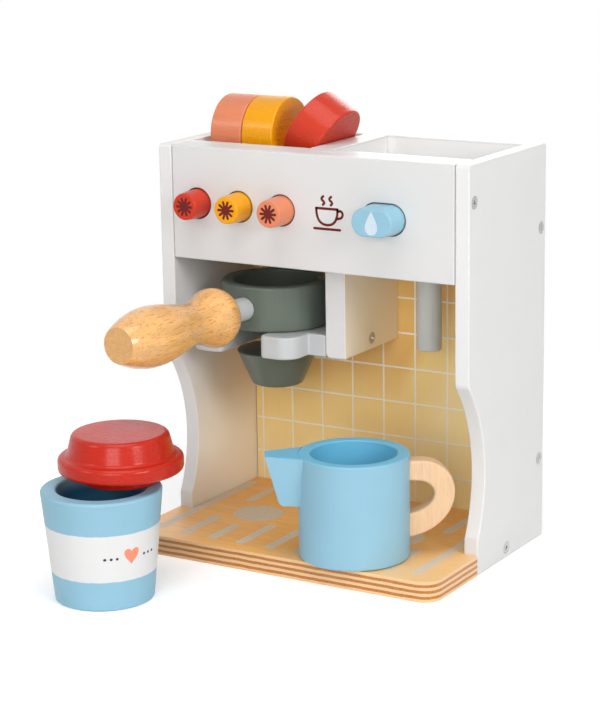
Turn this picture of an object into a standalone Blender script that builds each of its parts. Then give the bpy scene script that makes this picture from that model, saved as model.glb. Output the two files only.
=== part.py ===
"""Wooden toy coffee maker with its portafilter, coffee pods, milk jug and lidded cup.

Frame: metres, +Z up, -Y is the front. The origin lies on the floor under the middle of
the machine's footprint. Each piece is one closed solid with its own material.
"""

import math

import bmesh
import bpy
from mathutils import Matrix, Vector

MM = 0.001

# Shared clearances and finish
GAP = 0.3 * MM
OVERRUN = 2 * MM
EDGE = 0.8 * MM

# Carcass
WIDTH = 206 * MM
BASE_LENGTH = 144 * MM
SIDE_DEPTH = 100 * MM
HEIGHT = 240 * MM
HEAD_HEIGHT = 67.8 * MM
SIDE_THICKNESS = 9 * MM
BASE_THICKNESS = 12 * MM
FRONT_THICKNESS = 13 * MM
BACKING_THICKNESS = 9 * MM
BACK_THICKNESS = 12 * MM
HEAD_FLOOR_THICKNESS = 9 * MM
LIP_CORNER_RADIUS = 11 * MM

# Scalloped front edge of the side panels
FOOT_SETBACK = 12 * MM
FOOT_HEIGHT = 21 * MM
SCALLOP_DEPTH = 21 * MM
SCALLOP_MIDDLE_Z = 59 * MM
SCALLOP_TOP_Z = 114 * MM
SCALLOP_CORNER_RADIUS = 5 * MM
REAR_CORNER_RADIUS = 3 * MM
FRONT_CORNER_RADIUS = 2 * MM

# Compartments in the top
POD_TRAY_DEPTH = 21 * MM
POD_TRAY_THICKNESS = 9 * MM
POD_TRAY_WIDTH = 82 * MM
PARTITION_THICKNESS = 16 * MM

# Group bay: hanging divider, fork and steam wand
BREW_BAY_WIDTH = 91.2 * MM
DIVIDER_THICKNESS = 13.3 * MM
DIVIDER_DROP = 56.6 * MM
DIVIDER_CORNER_RADIUS = 3 * MM
FORK_DROP = 43.2 * MM
FORK_THICKNESS = 13.5 * MM
FORK_REACH = 19 * MM
FORK_WIDTH = 73 * MM
FORK_MOUTH = 27 * MM
FORK_SHIFT = 3 * MM
FORK_CORNER_RADIUS = 11 * MM
FORK_TIP_RADIUS = 4 * MM
WAND_RADIUS = 7.4 * MM
WAND_DROP = 51.4 * MM
WAND_Y = 21 * MM
WAND_TIP_RADIUS = 1 * MM
TENON_RADIUS = 5 * MM
TENON_LENGTH = 6 * MM

# Push buttons
BUTTON_INSET = 17.9 * MM
BUTTON_PITCH = 28.8 * MM
BUTTON_HOLE_RADIUS = 9.2 * MM
BUTTON_PLAY = 0.5 * MM
BUTTON_TAPER = 0.7 * MM
BUTTON_CHAMFER = 1 * MM
BUTTON_REACH = 14.5 * MM
BUTTON_TRAVEL = 8 * MM
BUTTON_LIP = 4 * MM
FLANGE_RADIUS = 11 * MM
FLANGE_THICKNESS = 2.5 * MM
POCKET_DEPTH = 5 * MM
WATER_INSET = 45 * MM
WATER_STRAIGHT = 9.8 * MM
SPRING_RADIUS = 5.6 * MM
SPRING_WIRE_RADIUS = 0.4 * MM
SPRING_TURNS = 4
SPRING_POINTS_PER_TURN = 8

# Portafilter
BREW_Y = 13.7 * MM
PORTAFILTER_TURN = math.radians(-5.2)
RING_RADIUS = 33 * MM
RING_BORE_RADIUS = 26 * MM
RING_HEIGHT = 27.2 * MM
RING_FLOOR = 7 * MM
RING_EDGE = 1.6 * MM
NECK_PLAY = 0.5 * MM
SPIGOT_RADIUS = 5.5 * MM
SPIGOT_LENGTH = 4.5 * MM
CONE_RADIUS = 24.8 * MM
CONE_TIP_RADIUS = 15.2 * MM
CONE_HEIGHT = 21.5 * MM
CONE_TIP_EDGE = 2.5 * MM
CONE_CLEARANCE = 3 * MM
DOWEL_RADIUS = 7 * MM
DOWEL_SHOWN = 21.8 * MM
DOWEL_IN_RING = 4 * MM
DOWEL_IN_HANDLE = 16 * MM
HANDLE_LENGTH = 92 * MM
HANDLE_RADIUS = 17.6 * MM
# Share of the handle's length, then share of its largest radius
HANDLE_OUTLINE_SHARES = (
    (0.0, 0.84), (0.015, 0.92), (0.05, 0.985), (0.1, 1.0), (0.17, 0.87), (0.24, 0.75),
    (0.31, 0.7), (0.38, 0.745), (0.46, 0.83), (0.56, 0.93), (0.66, 0.995), (0.76, 0.99),
    (0.85, 0.9), (0.92, 0.785), (0.97, 0.68), (1.0, 0.6),
)

# Coffee pods
POD_RADIUS = 22.6 * MM
POD_THICKNESS = 21.6 * MM
POD_EDGE = 1.2 * MM
FIRST_POD_INSET = 6.3 * MM
RED_POD_LEAN = math.radians(31.7)

# Milk jug
JUG_INSET = 54.9 * MM
JUG_SETBACK = 25 * MM
JUG_TURN = math.radians(32)
JUG_RADIUS = 32.1 * MM
JUG_HEIGHT = 61.3 * MM
JUG_WALL = 7 * MM
JUG_FLOOR = 7 * MM
JUG_EDGE = 1 * MM
SPOUT_REACH = 51 * MM
SPOUT_LOW_REACH = 42.8 * MM
SPOUT_DEPTH = 29.4 * MM
SPOUT_WIDTH = 27 * MM
SPOUT_LOW_WIDTH = 17 * MM
SPOUT_TIP_WIDTH = 12 * MM
SPOUT_CORNER_RADIUS = 4 * MM
JUG_HANDLE_REACH = 57.8 * MM
JUG_HANDLE_TOP = 56.8 * MM
JUG_HANDLE_BOTTOM = 10.6 * MM
JUG_HANDLE_MIDDLE = 38 * MM
JUG_HANDLE_SHOULDER = 39 * MM
JUG_HANDLE_THICKNESS = 11 * MM
JUG_HANDLE_EDGE = 1.5 * MM
FINGER_GAP_REACH = 45.8 * MM
FINGER_GAP_TOP = 44.8 * MM
FINGER_GAP_BOTTOM = 24.8 * MM
FINGER_GAP_MIDDLE = 37 * MM
FINGER_GAP_SHOULDER = 36 * MM

# Cup and lid
CUP_SHIFT = 19.2 * MM
CUP_STANDOFF = 73.4 * MM
CUP_RADIUS = 34.4 * MM
CUP_BASE_RADIUS = 28.1 * MM
CUP_HEIGHT_SHARE = 0.812
CUP_BORE_RADIUS = 25.6 * MM
CUP_BORE_BASE_RADIUS = 21 * MM
CUP_FLOOR = 9 * MM
CUP_EDGE = 1.5 * MM
LID_SHIFT_X = 3 * MM
LID_SHIFT_Y = 15.4 * MM
LID_RADIUS = 35.6 * MM
LID_RIM_HEIGHT = 9.5 * MM
LID_HEIGHT = 22.5 * MM
LID_DOME_RADIUS = 30.6 * MM
LID_TOP_RADIUS = 27.4 * MM
LID_SWEEP_RADIUS = 2.6 * MM
LID_RIM_EDGE = 2.8 * MM
LID_DOME_EDGE = 3.4 * MM
PLUG_RADIUS = 22 * MM
PLUG_HEIGHT = 6 * MM

# Wood screws
SCREW_HEAD_RADIUS = 3.5 * MM
SCREW_HEAD_DEPTH = 2.2 * MM
SCREW_SHANK_RADIUS = 1.7 * MM
SCREW_LENGTH = 20 * MM
SCREW_POINT = 3 * MM
FRONT_SCREW_DROP = 21.4 * MM
BACK_SCREW_INSET = 49.5 * MM

# Facets
ROUND_STEPS = 32
SMALL_STEPS = 20
SCREW_STEPS = 8
FILLET_STEPS = 3
SMOOTH_ANGLE = math.radians(40)

# Places that follow from the sizes above
REAR_Y = BASE_LENGTH / 2
LIP_Y = -BASE_LENGTH / 2
FRONT_Y = REAR_Y - SIDE_DEPTH
FOOT_Y = FRONT_Y + FOOT_SETBACK
INNER_X = WIDTH / 2 - SIDE_THICKNESS
BOARD_X = INNER_X - GAP
BACK_FACE_Y = REAR_Y - BACK_THICKNESS
BACKING_Y = FRONT_Y + FRONT_THICKNESS + GAP
BAY_FRONT_Y = BACKING_Y + BACKING_THICKNESS + GAP
BAY_REAR_Y = BACK_FACE_Y - GAP
BAY_MIDDLE_Y = (BAY_FRONT_Y + BAY_REAR_Y) / 2
HEAD_Z = HEIGHT - HEAD_HEIGHT
TRAY_Z = HEIGHT - POD_TRAY_DEPTH
DIVIDER_LEFT = BREW_BAY_WIDTH - INNER_X
DIVIDER_RIGHT = DIVIDER_LEFT + DIVIDER_THICKNESS
PARTITION_LEFT = POD_TRAY_WIDTH - INNER_X
PARTITION_RIGHT = PARTITION_LEFT + PARTITION_THICKNESS
BREW_X = BREW_BAY_WIDTH / 2 - INNER_X
FORK_TOP_Z = HEAD_Z - FORK_DROP
FORK_LOW_Z = FORK_TOP_Z - FORK_THICKNESS
CONE_TOP_Z = FORK_LOW_Z - CONE_CLEARANCE
FORK_X = BREW_X - FORK_SHIFT
BUTTON_FIRST_X = BUTTON_INSET - INNER_X
WATER_X = INNER_X - WATER_INSET
BUTTON_Z = HEAD_Z + HEAD_HEIGHT / 2
LIP_REAR_Y = FRONT_Y + BUTTON_LIP
BUTTON_RADIUS = BUTTON_HOLE_RADIUS - BUTTON_PLAY
POCKET_RADIUS = FLANGE_RADIUS + BUTTON_PLAY
RING_Z = FORK_TOP_Z + GAP
DOWEL_Z = RING_Z + RING_HEIGHT / 2
WAND_X = (DIVIDER_RIGHT + INNER_X) / 2
JUG_X = INNER_X - JUG_INSET
JUG_Y = LIP_Y + JUG_SETBACK
CUP_X = BREW_X - CUP_SHIFT
CUP_Y = LIP_Y - CUP_STANDOFF
CUP_HEIGHT = CUP_HEIGHT_SHARE * (CONE_TOP_Z - CONE_HEIGHT - BASE_THICKNESS)

# Paint and wood: base colour and roughness
WHITE_PAINT = ((0.86, 0.86, 0.85), 0.42)
BIRCH_PLY = ((0.78, 0.55, 0.30), 0.5)
YELLOW_PRINT = ((0.86, 0.66, 0.33), 0.45)
BEECH = ((0.86, 0.62, 0.37), 0.48)
GREY_PAINT = ((0.68, 0.71, 0.71), 0.42)
SLATE_PAINT = ((0.16, 0.19, 0.17), 0.4)
RED_PAINT = ((0.66, 0.06, 0.025), 0.38)
MUSTARD_PAINT = ((0.92, 0.44, 0.005), 0.38)
PEACH_PAINT = ((0.84, 0.31, 0.18), 0.4)
BLUE_PAINT = ((0.36, 0.63, 0.76), 0.42)
ZINC = ((0.62, 0.60, 0.56), 0.32)


def clear_scene():
    for found in list(bpy.data.objects):
        bpy.data.objects.remove(found, do_unlink=True)


def finish_of(name, coat, metallic=0.0):
    """A Principled material of the coat's colour and roughness."""
    colour, roughness = coat
    made = bpy.data.materials.new(name + "_finish")
    made.use_nodes = True
    shader = made.node_tree.nodes["Principled BSDF"]
    shader.inputs["Base Color"].default_value = (*colour, 1.0)
    shader.inputs["Roughness"].default_value = roughness
    shader.inputs["Metallic"].default_value = metallic
    return made


def add_object(name, mesh, coat, metallic=0.0):
    made = bpy.data.objects.new(name, mesh)
    bpy.context.collection.objects.link(made)
    if coat is not None:
        mesh.materials.append(finish_of(name, coat, metallic))
    return made


def mesh_from(name, shape, smooth=False):
    """Turn a bmesh into a mesh with outward faces, shaded smooth if the piece is round."""
    bmesh.ops.recalc_face_normals(shape, faces=shape.faces)
    if shape.calc_volume(signed=True) < 0:
        bmesh.ops.reverse_faces(shape, faces=shape.faces)
    mesh = bpy.data.meshes.new(name)
    shape.to_mesh(mesh)
    shape.free()
    if smooth:
        mesh.shade_smooth()
        mesh.set_sharp_from_angle(angle=SMOOTH_ANGLE)
    return mesh


def as_cutter(piece):
    piece.hide_render = True
    piece.display_type = "WIRE"
    return piece


def cut(target, cutter):
    modifier = target.modifiers.new("cut_" + cutter.name, "BOOLEAN")
    modifier.operation = "DIFFERENCE"
    modifier.object = cutter


def ease_edges(piece, width=EDGE, segments=1):
    modifier = piece.modifiers.new("eased_edges", "BEVEL")
    modifier.width = width
    modifier.segments = segments
    modifier.limit_method = "ANGLE"
    modifier.angle_limit = SMOOTH_ANGLE
    modifier.use_clamp_overlap = True


def fillet(outline, radii, steps=FILLET_STEPS, closed=True):
    """Round the corners of a 2D outline. A radius of zero keeps its corner."""
    points = [Vector(point) for point in outline]
    count = len(points)
    rounded = []
    for index, corner in enumerate(points):
        radius = radii[index]
        at_end = not closed and index in (0, count - 1)
        if radius == 0 or at_end:
            rounded.append(corner)
            continue
        back = (points[index - 1] - corner).normalized()
        ahead = (points[(index + 1) % count] - corner).normalized()
        half = back.angle(ahead) / 2
        tangent = radius / math.tan(half)
        centre = corner + (back + ahead).normalized() * (radius / math.sin(half))
        start = corner + back * tangent - centre
        end = corner + ahead * tangent - centre
        sweep = start.angle_signed(end)
        for step in range(steps + 1):
            turn = Matrix.Rotation(-sweep * step / steps, 2)
            rounded.append(centre + turn @ start)
    return rounded


def elliptic(centre, across, up, start, end, steps):
    """Points of an elliptic arc between two angles in degrees, both ends included."""
    found = []
    for step in range(steps + 1):
        angle = math.radians(start + (end - start) * step / steps)
        found.append(Vector((
            centre[0] + across * math.cos(angle),
            centre[1] + up * math.sin(angle),
        )))
    return found


def ring_of_circle(radius, height, steps):
    angles = [2 * math.pi * step / steps for step in range(steps)]
    return [(radius * math.cos(a), radius * math.sin(a), height) for a in angles]


def stadium_ring(radius, straight, height, steps):
    """A round-ended slot outline along X, at the given height along Z."""
    found = []
    quarter = steps // 4
    for side in (1, -1):
        for step in range(2 * quarter + 1):
            angle = math.pi * step / (2 * quarter) - side * math.pi / 2
            across = radius * math.cos(angle) + side * straight / 2
            found.append((across, radius * math.sin(angle), height))
    return found


def loft(name, rings, smooth=False):
    """Join rings of equal length into a closed skin with flat ends."""
    shape = bmesh.new()
    loops = [[shape.verts.new(point) for point in ring] for ring in rings]
    count = len(loops[0])
    for lower, upper in zip(loops, loops[1:]):
        for index in range(count):
            after = (index + 1) % count
            shape.faces.new((lower[index], lower[after], upper[after], upper[index]))
    shape.faces.new(list(reversed(loops[0])))
    shape.faces.new(loops[-1])
    return mesh_from(name, shape, smooth)


def prism(name, outline, axis, low, high):
    """Extrude a 2D outline along X, Y or Z between two places on that axis."""
    place = {
        "X": lambda u, v, w: (w, u, v),
        "Y": lambda u, v, w: (u, w, v),
        "Z": lambda u, v, w: (u, v, w),
    }[axis]
    rings = [[place(point[0], point[1], w) for point in outline] for w in (low, high)]
    return loft(name, rings)


def block(name, low, high):
    """A plain rectangular board between two corners."""
    shape = bmesh.new()
    bmesh.ops.create_cube(shape, size=1)
    low, high = Vector(low), Vector(high)
    span = high - low
    bmesh.ops.scale(shape, vec=span, verts=shape.verts)
    bmesh.ops.translate(shape, vec=(low + high) / 2, verts=shape.verts)
    return mesh_from(name, shape)


def turned(name, profile, steps=ROUND_STEPS, smooth=True):
    """Spin a profile of (radius, height) points about Z. Both ends lie on the axis."""
    shape = bmesh.new()
    points = [shape.verts.new((point[0], 0, point[1])) for point in profile]
    edges = [shape.edges.new(pair) for pair in zip(points, points[1:])]
    bmesh.ops.spin(
        shape, geom=points + edges, cent=(0, 0, 0), axis=(0, 0, 1),
        angle=2 * math.pi, steps=steps, use_merge=True,
    )
    bmesh.ops.remove_doubles(shape, verts=shape.verts, dist=EDGE / ROUND_STEPS)
    return mesh_from(name, shape, smooth)


def rod_profile(radius, low, high, tip=0.0):
    """A plain rod, with its low end rounded when a tip radius is given."""
    corner = [(0, low), (radius, low), (radius, high), (0, high)]
    return fillet(corner, (0, tip, 0, 0), closed=False)


def round_cutter(name, profile, location, rotation=(0, 0, 0), steps=SMALL_STEPS):
    made = add_object(name, turned(name, profile, steps), None)
    made.location = location
    made.rotation_euler = rotation
    return as_cutter(made)


def board(name, low, high, coat=WHITE_PAINT):
    made = add_object(name, block(name, low, high), coat)
    ease_edges(made)
    return made


def build_base_board():
    """T-shaped plywood base: a full-width lip in front of the panels, narrow between them."""
    shoulder_y = FOOT_Y - GAP
    outline = (
        (-WIDTH / 2, LIP_Y), (WIDTH / 2, LIP_Y), (WIDTH / 2, shoulder_y), (BOARD_X, shoulder_y),
        (BOARD_X, BAY_REAR_Y), (-BOARD_X, BAY_REAR_Y), (-BOARD_X, shoulder_y),
        (-WIDTH / 2, shoulder_y),
    )
    radii = (LIP_CORNER_RADIUS, LIP_CORNER_RADIUS, 0, 0, 0, 0, 0, 0)
    mesh = prism("base_board", fillet(outline, radii, 2 * FILLET_STEPS), "Z", 0, BASE_THICKNESS)
    made = add_object("base_board", mesh, BIRCH_PLY)
    ease_edges(made, EDGE / 2)
    return made


def side_outline():
    """Profile of a side panel in (y, z), with two arcs that meet at the scallop's middle."""
    waist_y = FRONT_Y + SCALLOP_DEPTH
    upper = SCALLOP_TOP_Z - SCALLOP_MIDDLE_Z
    upper_radius = (upper ** 2 + SCALLOP_DEPTH ** 2) / (2 * SCALLOP_DEPTH)
    lower = SCALLOP_MIDDLE_Z - FOOT_HEIGHT
    lower_depth = waist_y - FOOT_Y
    lower_radius = (lower ** 2 + lower_depth ** 2) / (2 * lower_depth)
    upper_angle = math.degrees(math.asin(upper / upper_radius))
    lower_angle = math.degrees(math.asin(lower / lower_radius))
    steps = 3 * FILLET_STEPS
    upper_centre = (waist_y - upper_radius, SCALLOP_MIDDLE_Z)
    lower_centre = (waist_y - lower_radius, SCALLOP_MIDDLE_Z)
    arc = elliptic(upper_centre, upper_radius, upper_radius, upper_angle, 0, steps)
    arc += elliptic(lower_centre, lower_radius, lower_radius, 0, -lower_angle, steps)[1:]
    corners = [(REAR_Y, 0), (REAR_Y, HEIGHT), (FRONT_Y, HEIGHT)] + arc + [(FOOT_Y, 0)]
    radii = [0, REAR_CORNER_RADIUS, FRONT_CORNER_RADIUS, SCALLOP_CORNER_RADIUS] + [0] * len(arc)
    return fillet(corners, radii)


def build_side_panels():
    panels = []
    for name, side in (("left_side_panel", -1), ("right_side_panel", 1)):
        faces = sorted((side * INNER_X, side * WIDTH / 2))
        made = add_object(name, prism(name, side_outline(), "X", *faces), WHITE_PAINT)
        ease_edges(made)
        panels.append(made)
    return panels


def button_places():
    """Each button's name, its coat, its place along X and its straight length."""
    coats = (("red", RED_PAINT), ("mustard", MUSTARD_PAINT), ("peach", PEACH_PAINT))
    places = []
    for index, (name, coat) in enumerate(coats):
        places.append((name + "_button", coat, BUTTON_FIRST_X + index * BUTTON_PITCH, 0))
    return places + [("water_button", BLUE_PAINT, WATER_X, WATER_STRAIGHT)]


def button_rings(sections, straight):
    """Round or round-ended outlines for (radius, height) sections of a button or its hole."""
    if straight:
        return [stadium_ring(radius, straight, z, SMALL_STEPS) for radius, z in sections]
    return [ring_of_circle(radius, z, SMALL_STEPS) for radius, z in sections]


def build_front_boards():
    """Front panel with stepped button holes, and the backing board that closes them."""
    front = board(
        "front_panel", (-BOARD_X, FRONT_Y, HEAD_Z), (BOARD_X, FRONT_Y + FRONT_THICKNESS, HEIGHT),
    )
    backing_high = BACKING_Y + BACKING_THICKNESS
    backing = board(
        "button_backing_board", (-BOARD_X, BACKING_Y, HEAD_Z), (BOARD_X, backing_high, HEIGHT),
    )
    pocket_end = BACKING_Y + POCKET_DEPTH
    sections = (
        (BUTTON_HOLE_RADIUS, FRONT_Y - OVERRUN), (BUTTON_HOLE_RADIUS, LIP_REAR_Y),
        (POCKET_RADIUS, LIP_REAR_Y), (POCKET_RADIUS, pocket_end),
    )
    for name, _, x, straight in button_places():
        hole = add_object(name + "_hole", loft(name, button_rings(sections, straight)), None)
        hole.location = (x, 0, BUTTON_Z)
        hole.rotation_euler = (-math.pi / 2, 0, 0)
        cut(front, as_cutter(hole))
        cut(backing, hole)
    return front, backing


def build_button(name, coat, x, straight):
    """A tapered peg with a chamfered face and a hidden flange that keeps it in the panel."""
    flange_front = BUTTON_LIP + GAP
    sections = (
        (BUTTON_RADIUS - BUTTON_TAPER - BUTTON_CHAMFER, -BUTTON_REACH),
        (BUTTON_RADIUS - BUTTON_TAPER, BUTTON_CHAMFER - BUTTON_REACH),
        (BUTTON_RADIUS, 0),
        (BUTTON_RADIUS, flange_front),
        (FLANGE_RADIUS, flange_front),
        (FLANGE_RADIUS, flange_front + FLANGE_THICKNESS),
    )
    mesh = loft(name, button_rings(sections, straight), smooth=True)
    made = add_object(name, mesh, coat)
    made.location = (x, FRONT_Y, BUTTON_Z)
    made.rotation_euler = (-math.pi / 2, 0, 0)
    return made


def build_spring(name, x):
    """An open compression spring between a button's flange and the bottom of its pocket."""
    low = LIP_REAR_Y + GAP + FLANGE_THICKNESS + GAP + SPRING_WIRE_RADIUS
    high = BACKING_Y + POCKET_DEPTH - GAP - SPRING_WIRE_RADIUS
    curve = bpy.data.curves.new(name, "CURVE")
    curve.dimensions = "3D"
    curve.bevel_depth = SPRING_WIRE_RADIUS
    curve.bevel_resolution = 1
    curve.use_fill_caps = True
    count = SPRING_TURNS * SPRING_POINTS_PER_TURN + 1
    spline = curve.splines.new("POLY")
    spline.points.add(count - 1)
    for index in range(count):
        angle = 2 * math.pi * index / SPRING_POINTS_PER_TURN
        along = low + (high - low) * index / (count - 1)
        place = (SPRING_RADIUS * math.cos(angle), along, SPRING_RADIUS * math.sin(angle))
        spline.points[index].co = (*place, 1)
    pitch = (high - low) / SPRING_TURNS
    print(name, "least gap to itself, mm:", round((pitch - 2 * SPRING_WIRE_RADIUS) / MM, 2))
    curve.materials.append(finish_of(name, ZINC, 1.0))
    made = bpy.data.objects.new(name, curve)
    bpy.context.collection.objects.link(made)
    made.location = (x, 0, BUTTON_Z)
    return made


def build_buttons():
    for name, coat, x, straight in button_places():
        build_button(name, coat, x, straight)
        build_spring(name + "_spring", x)


def build_inner_boards():
    """Back panel, floor of the head, floor of the pod tray and the wall between the bins."""
    back = board(
        "back_panel", (-BOARD_X, BACK_FACE_Y, 0), (BOARD_X, REAR_Y, HEIGHT), YELLOW_PRINT,
    )
    head_floor = board(
        "head_floor", (-BOARD_X, BAY_FRONT_Y, HEAD_Z),
        (BOARD_X, BAY_REAR_Y, HEAD_Z + HEAD_FLOOR_THICKNESS),
    )
    board(
        "pod_tray_floor", (-BOARD_X, BAY_FRONT_Y, TRAY_Z - POD_TRAY_THICKNESS),
        (PARTITION_LEFT - GAP, BAY_REAR_Y, TRAY_Z),
    )
    board(
        "hopper_partition", (PARTITION_LEFT, BAY_FRONT_Y, HEAD_Z + HEAD_FLOOR_THICKNESS + GAP),
        (PARTITION_RIGHT, BAY_REAR_Y, HEIGHT),
    )
    return back, head_floor


def build_group_divider():
    """Short wall that hangs from the head and closes the bay, its lower left edge rounded."""
    low, high = HEAD_Z - DIVIDER_DROP, HEAD_Z - GAP
    outline = (
        (DIVIDER_LEFT, low), (DIVIDER_RIGHT, low), (DIVIDER_RIGHT, high), (DIVIDER_LEFT, high),
    )
    radii = (DIVIDER_CORNER_RADIUS, EDGE, 0, 0)
    mesh = prism("group_divider", fillet(outline, radii), "Y", BAY_FRONT_Y, BAY_REAR_Y)
    made = add_object("group_divider", mesh, WHITE_PAINT)
    ease_edges(made, EDGE / 2)
    return made


def build_fork():
    """Shelf across the bay with two rounded arms and a round-bottomed mouth."""
    left, right = -BOARD_X, DIVIDER_LEFT - GAP
    arm_front = BAY_FRONT_Y - FORK_REACH
    arm_left, arm_right = FORK_X - FORK_WIDTH / 2, FORK_X + FORK_WIDTH / 2
    mouth = FORK_MOUTH / 2
    corners = [
        (left, BAY_REAR_Y), (left, BAY_FRONT_Y), (arm_left, BAY_FRONT_Y), (arm_left, arm_front),
        (FORK_X - mouth, arm_front),
    ]
    radii = [0, 0, 0, FORK_CORNER_RADIUS, FORK_TIP_RADIUS]
    socket = elliptic((FORK_X, BREW_Y), mouth, mouth, 180, 0, 4 * FILLET_STEPS)
    corners += socket
    radii += [0] * len(socket)
    corners += [
        (FORK_X + mouth, arm_front), (arm_right, arm_front), (arm_right, BAY_FRONT_Y),
        (right, BAY_FRONT_Y), (right, BAY_REAR_Y),
    ]
    radii += [FORK_TIP_RADIUS, FORK_CORNER_RADIUS, 0, 0, 0]
    outline = fillet(corners, radii)
    mesh = prism("portafilter_fork", outline, "Z", FORK_LOW_Z, FORK_TOP_Z)
    made = add_object("portafilter_fork", mesh, GREY_PAINT)
    ease_edges(made)
    return made


def build_steam_wand(head_floor):
    """Dowel that hangs in the right bay, with a tenon glued into the floor of the head."""
    shoulder = HEAD_Z - GAP
    low = HEAD_Z - WAND_DROP
    corners = (
        (0, low), (WAND_RADIUS, low), (WAND_RADIUS, shoulder), (TENON_RADIUS, shoulder),
        (TENON_RADIUS, HEAD_Z + TENON_LENGTH), (0, HEAD_Z + TENON_LENGTH),
    )
    profile = fillet(corners, (0, WAND_TIP_RADIUS, 0, 0, 0, 0), closed=False)
    made = add_object("steam_wand", turned("steam_wand", profile, SMALL_STEPS), GREY_PAINT)
    made.location = (WAND_X, WAND_Y, 0)
    socket = rod_profile(TENON_RADIUS + GAP, HEAD_Z - OVERRUN, HEAD_Z + TENON_LENGTH + GAP)
    cut(head_floor, round_cutter("wand_socket", socket, (WAND_X, WAND_Y, 0)))
    return made


def screw_profile(grow=0.0):
    """A countersunk screw along -Z from its head at the origin, or its hole when grown."""
    head = SCREW_HEAD_RADIUS + grow
    shank = SCREW_SHANK_RADIUS + grow
    top = OVERRUN if grow else 0
    neck = -SCREW_HEAD_DEPTH - grow
    point = -SCREW_LENGTH - grow
    profile = [(0, point), (shank / 2, point), (shank, point + SCREW_POINT), (shank, neck)]
    profile += [(head, 0), (head, top)] if grow else [(head, 0)]
    return profile + [(0, top)]


def screw_places():
    """Each screw's name, its head, the way that it is driven along X, and what it joins."""
    front_y = FRONT_Y + FRONT_THICKNESS / 2
    back_y = BACK_FACE_Y + BACK_THICKNESS / 2
    base_y = (FOOT_Y + BACK_FACE_Y) / 2
    fork_z = (FORK_TOP_Z + FORK_LOW_Z) / 2
    joints = (
        ("front", front_y, HEIGHT - FRONT_SCREW_DROP, "front_panel"),
        ("upper_back", back_y, HEIGHT - BACK_SCREW_INSET, "back_panel"),
        ("lower_back", back_y, BACK_SCREW_INSET, "back_panel"),
        ("base", base_y, BASE_THICKNESS / 2, "base_board"),
    )
    places = []
    for side, sign in (("left", -1), ("right", 1)):
        for joint, y, z, inner in joints:
            head = (sign * WIDTH / 2, y, z)
            places.append((side + "_" + joint + "_screw", head, -sign, side + "_side_panel", inner))
    fork = "portafilter_fork"
    outer_head = (-WIDTH / 2, BAY_MIDDLE_Y, fork_z)
    inner_head = (DIVIDER_RIGHT, BAY_MIDDLE_Y, fork_z)
    places.append(("left_fork_screw", outer_head, 1, "left_side_panel", fork))
    places.append(("divider_fork_screw", inner_head, -1, "group_divider", fork))
    return places


def screw_matrix(place, direction):
    """Stand the screw's own -Z along +X or -X."""
    return Matrix.Translation(place) @ Matrix.Rotation(-direction * math.pi / 2, 4, "Y")


def build_screws(pieces):
    """Countersunk screws that share one mesh, and the holes that each piece needs for them."""
    screw_mesh = turned("wood_screw", screw_profile(), SCREW_STEPS)
    screw_mesh.materials.append(finish_of("wood_screw", ZINC, 1.0))
    hole_mesh = turned("screw_hole", screw_profile(GAP), SCREW_STEPS)
    bored = {}
    for name, place, way, outer, inner in screw_places():
        matrix = screw_matrix(place, way)
        add_object(name, screw_mesh, None).matrix_world = matrix
        for piece in (outer, inner):
            bored.setdefault(piece, bmesh.new())
            single = hole_mesh.copy()
            single.transform(matrix)
            bored[piece].from_mesh(single)
    for piece, shape in bored.items():
        mesh = mesh_from(piece + "_screw_holes", shape)
        cut(pieces[piece], as_cutter(add_object(piece + "_screw_holes", mesh, None)))


def group_at(name, location, turn):
    """An empty on the vertical axis that a group of pieces shares."""
    made = bpy.data.objects.new(name, None)
    bpy.context.collection.objects.link(made)
    made.location = location
    made.rotation_euler = (0, 0, turn)
    return made


def smooth_outline(shares, length, radius, steps):
    """A smooth curve through hand-picked stations of a turned shape."""
    points = [Vector((share_r * radius, share_s * length)) for share_s, share_r in shares]
    found = []
    for index in range(len(points) - 1):
        before = points[max(index - 1, 0)]
        here, after = points[index], points[index + 1]
        beyond = points[min(index + 2, len(points) - 1)]
        for step in range(steps):
            t = step / steps
            blend = (
                (after - before) * t
                + (2 * before - 5 * here + 4 * after - beyond) * t ** 2
                + (3 * here - before - 3 * after + beyond) * t ** 3
            )
            found.append(here + blend / 2)
    found.append(points[-1])
    return found


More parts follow.
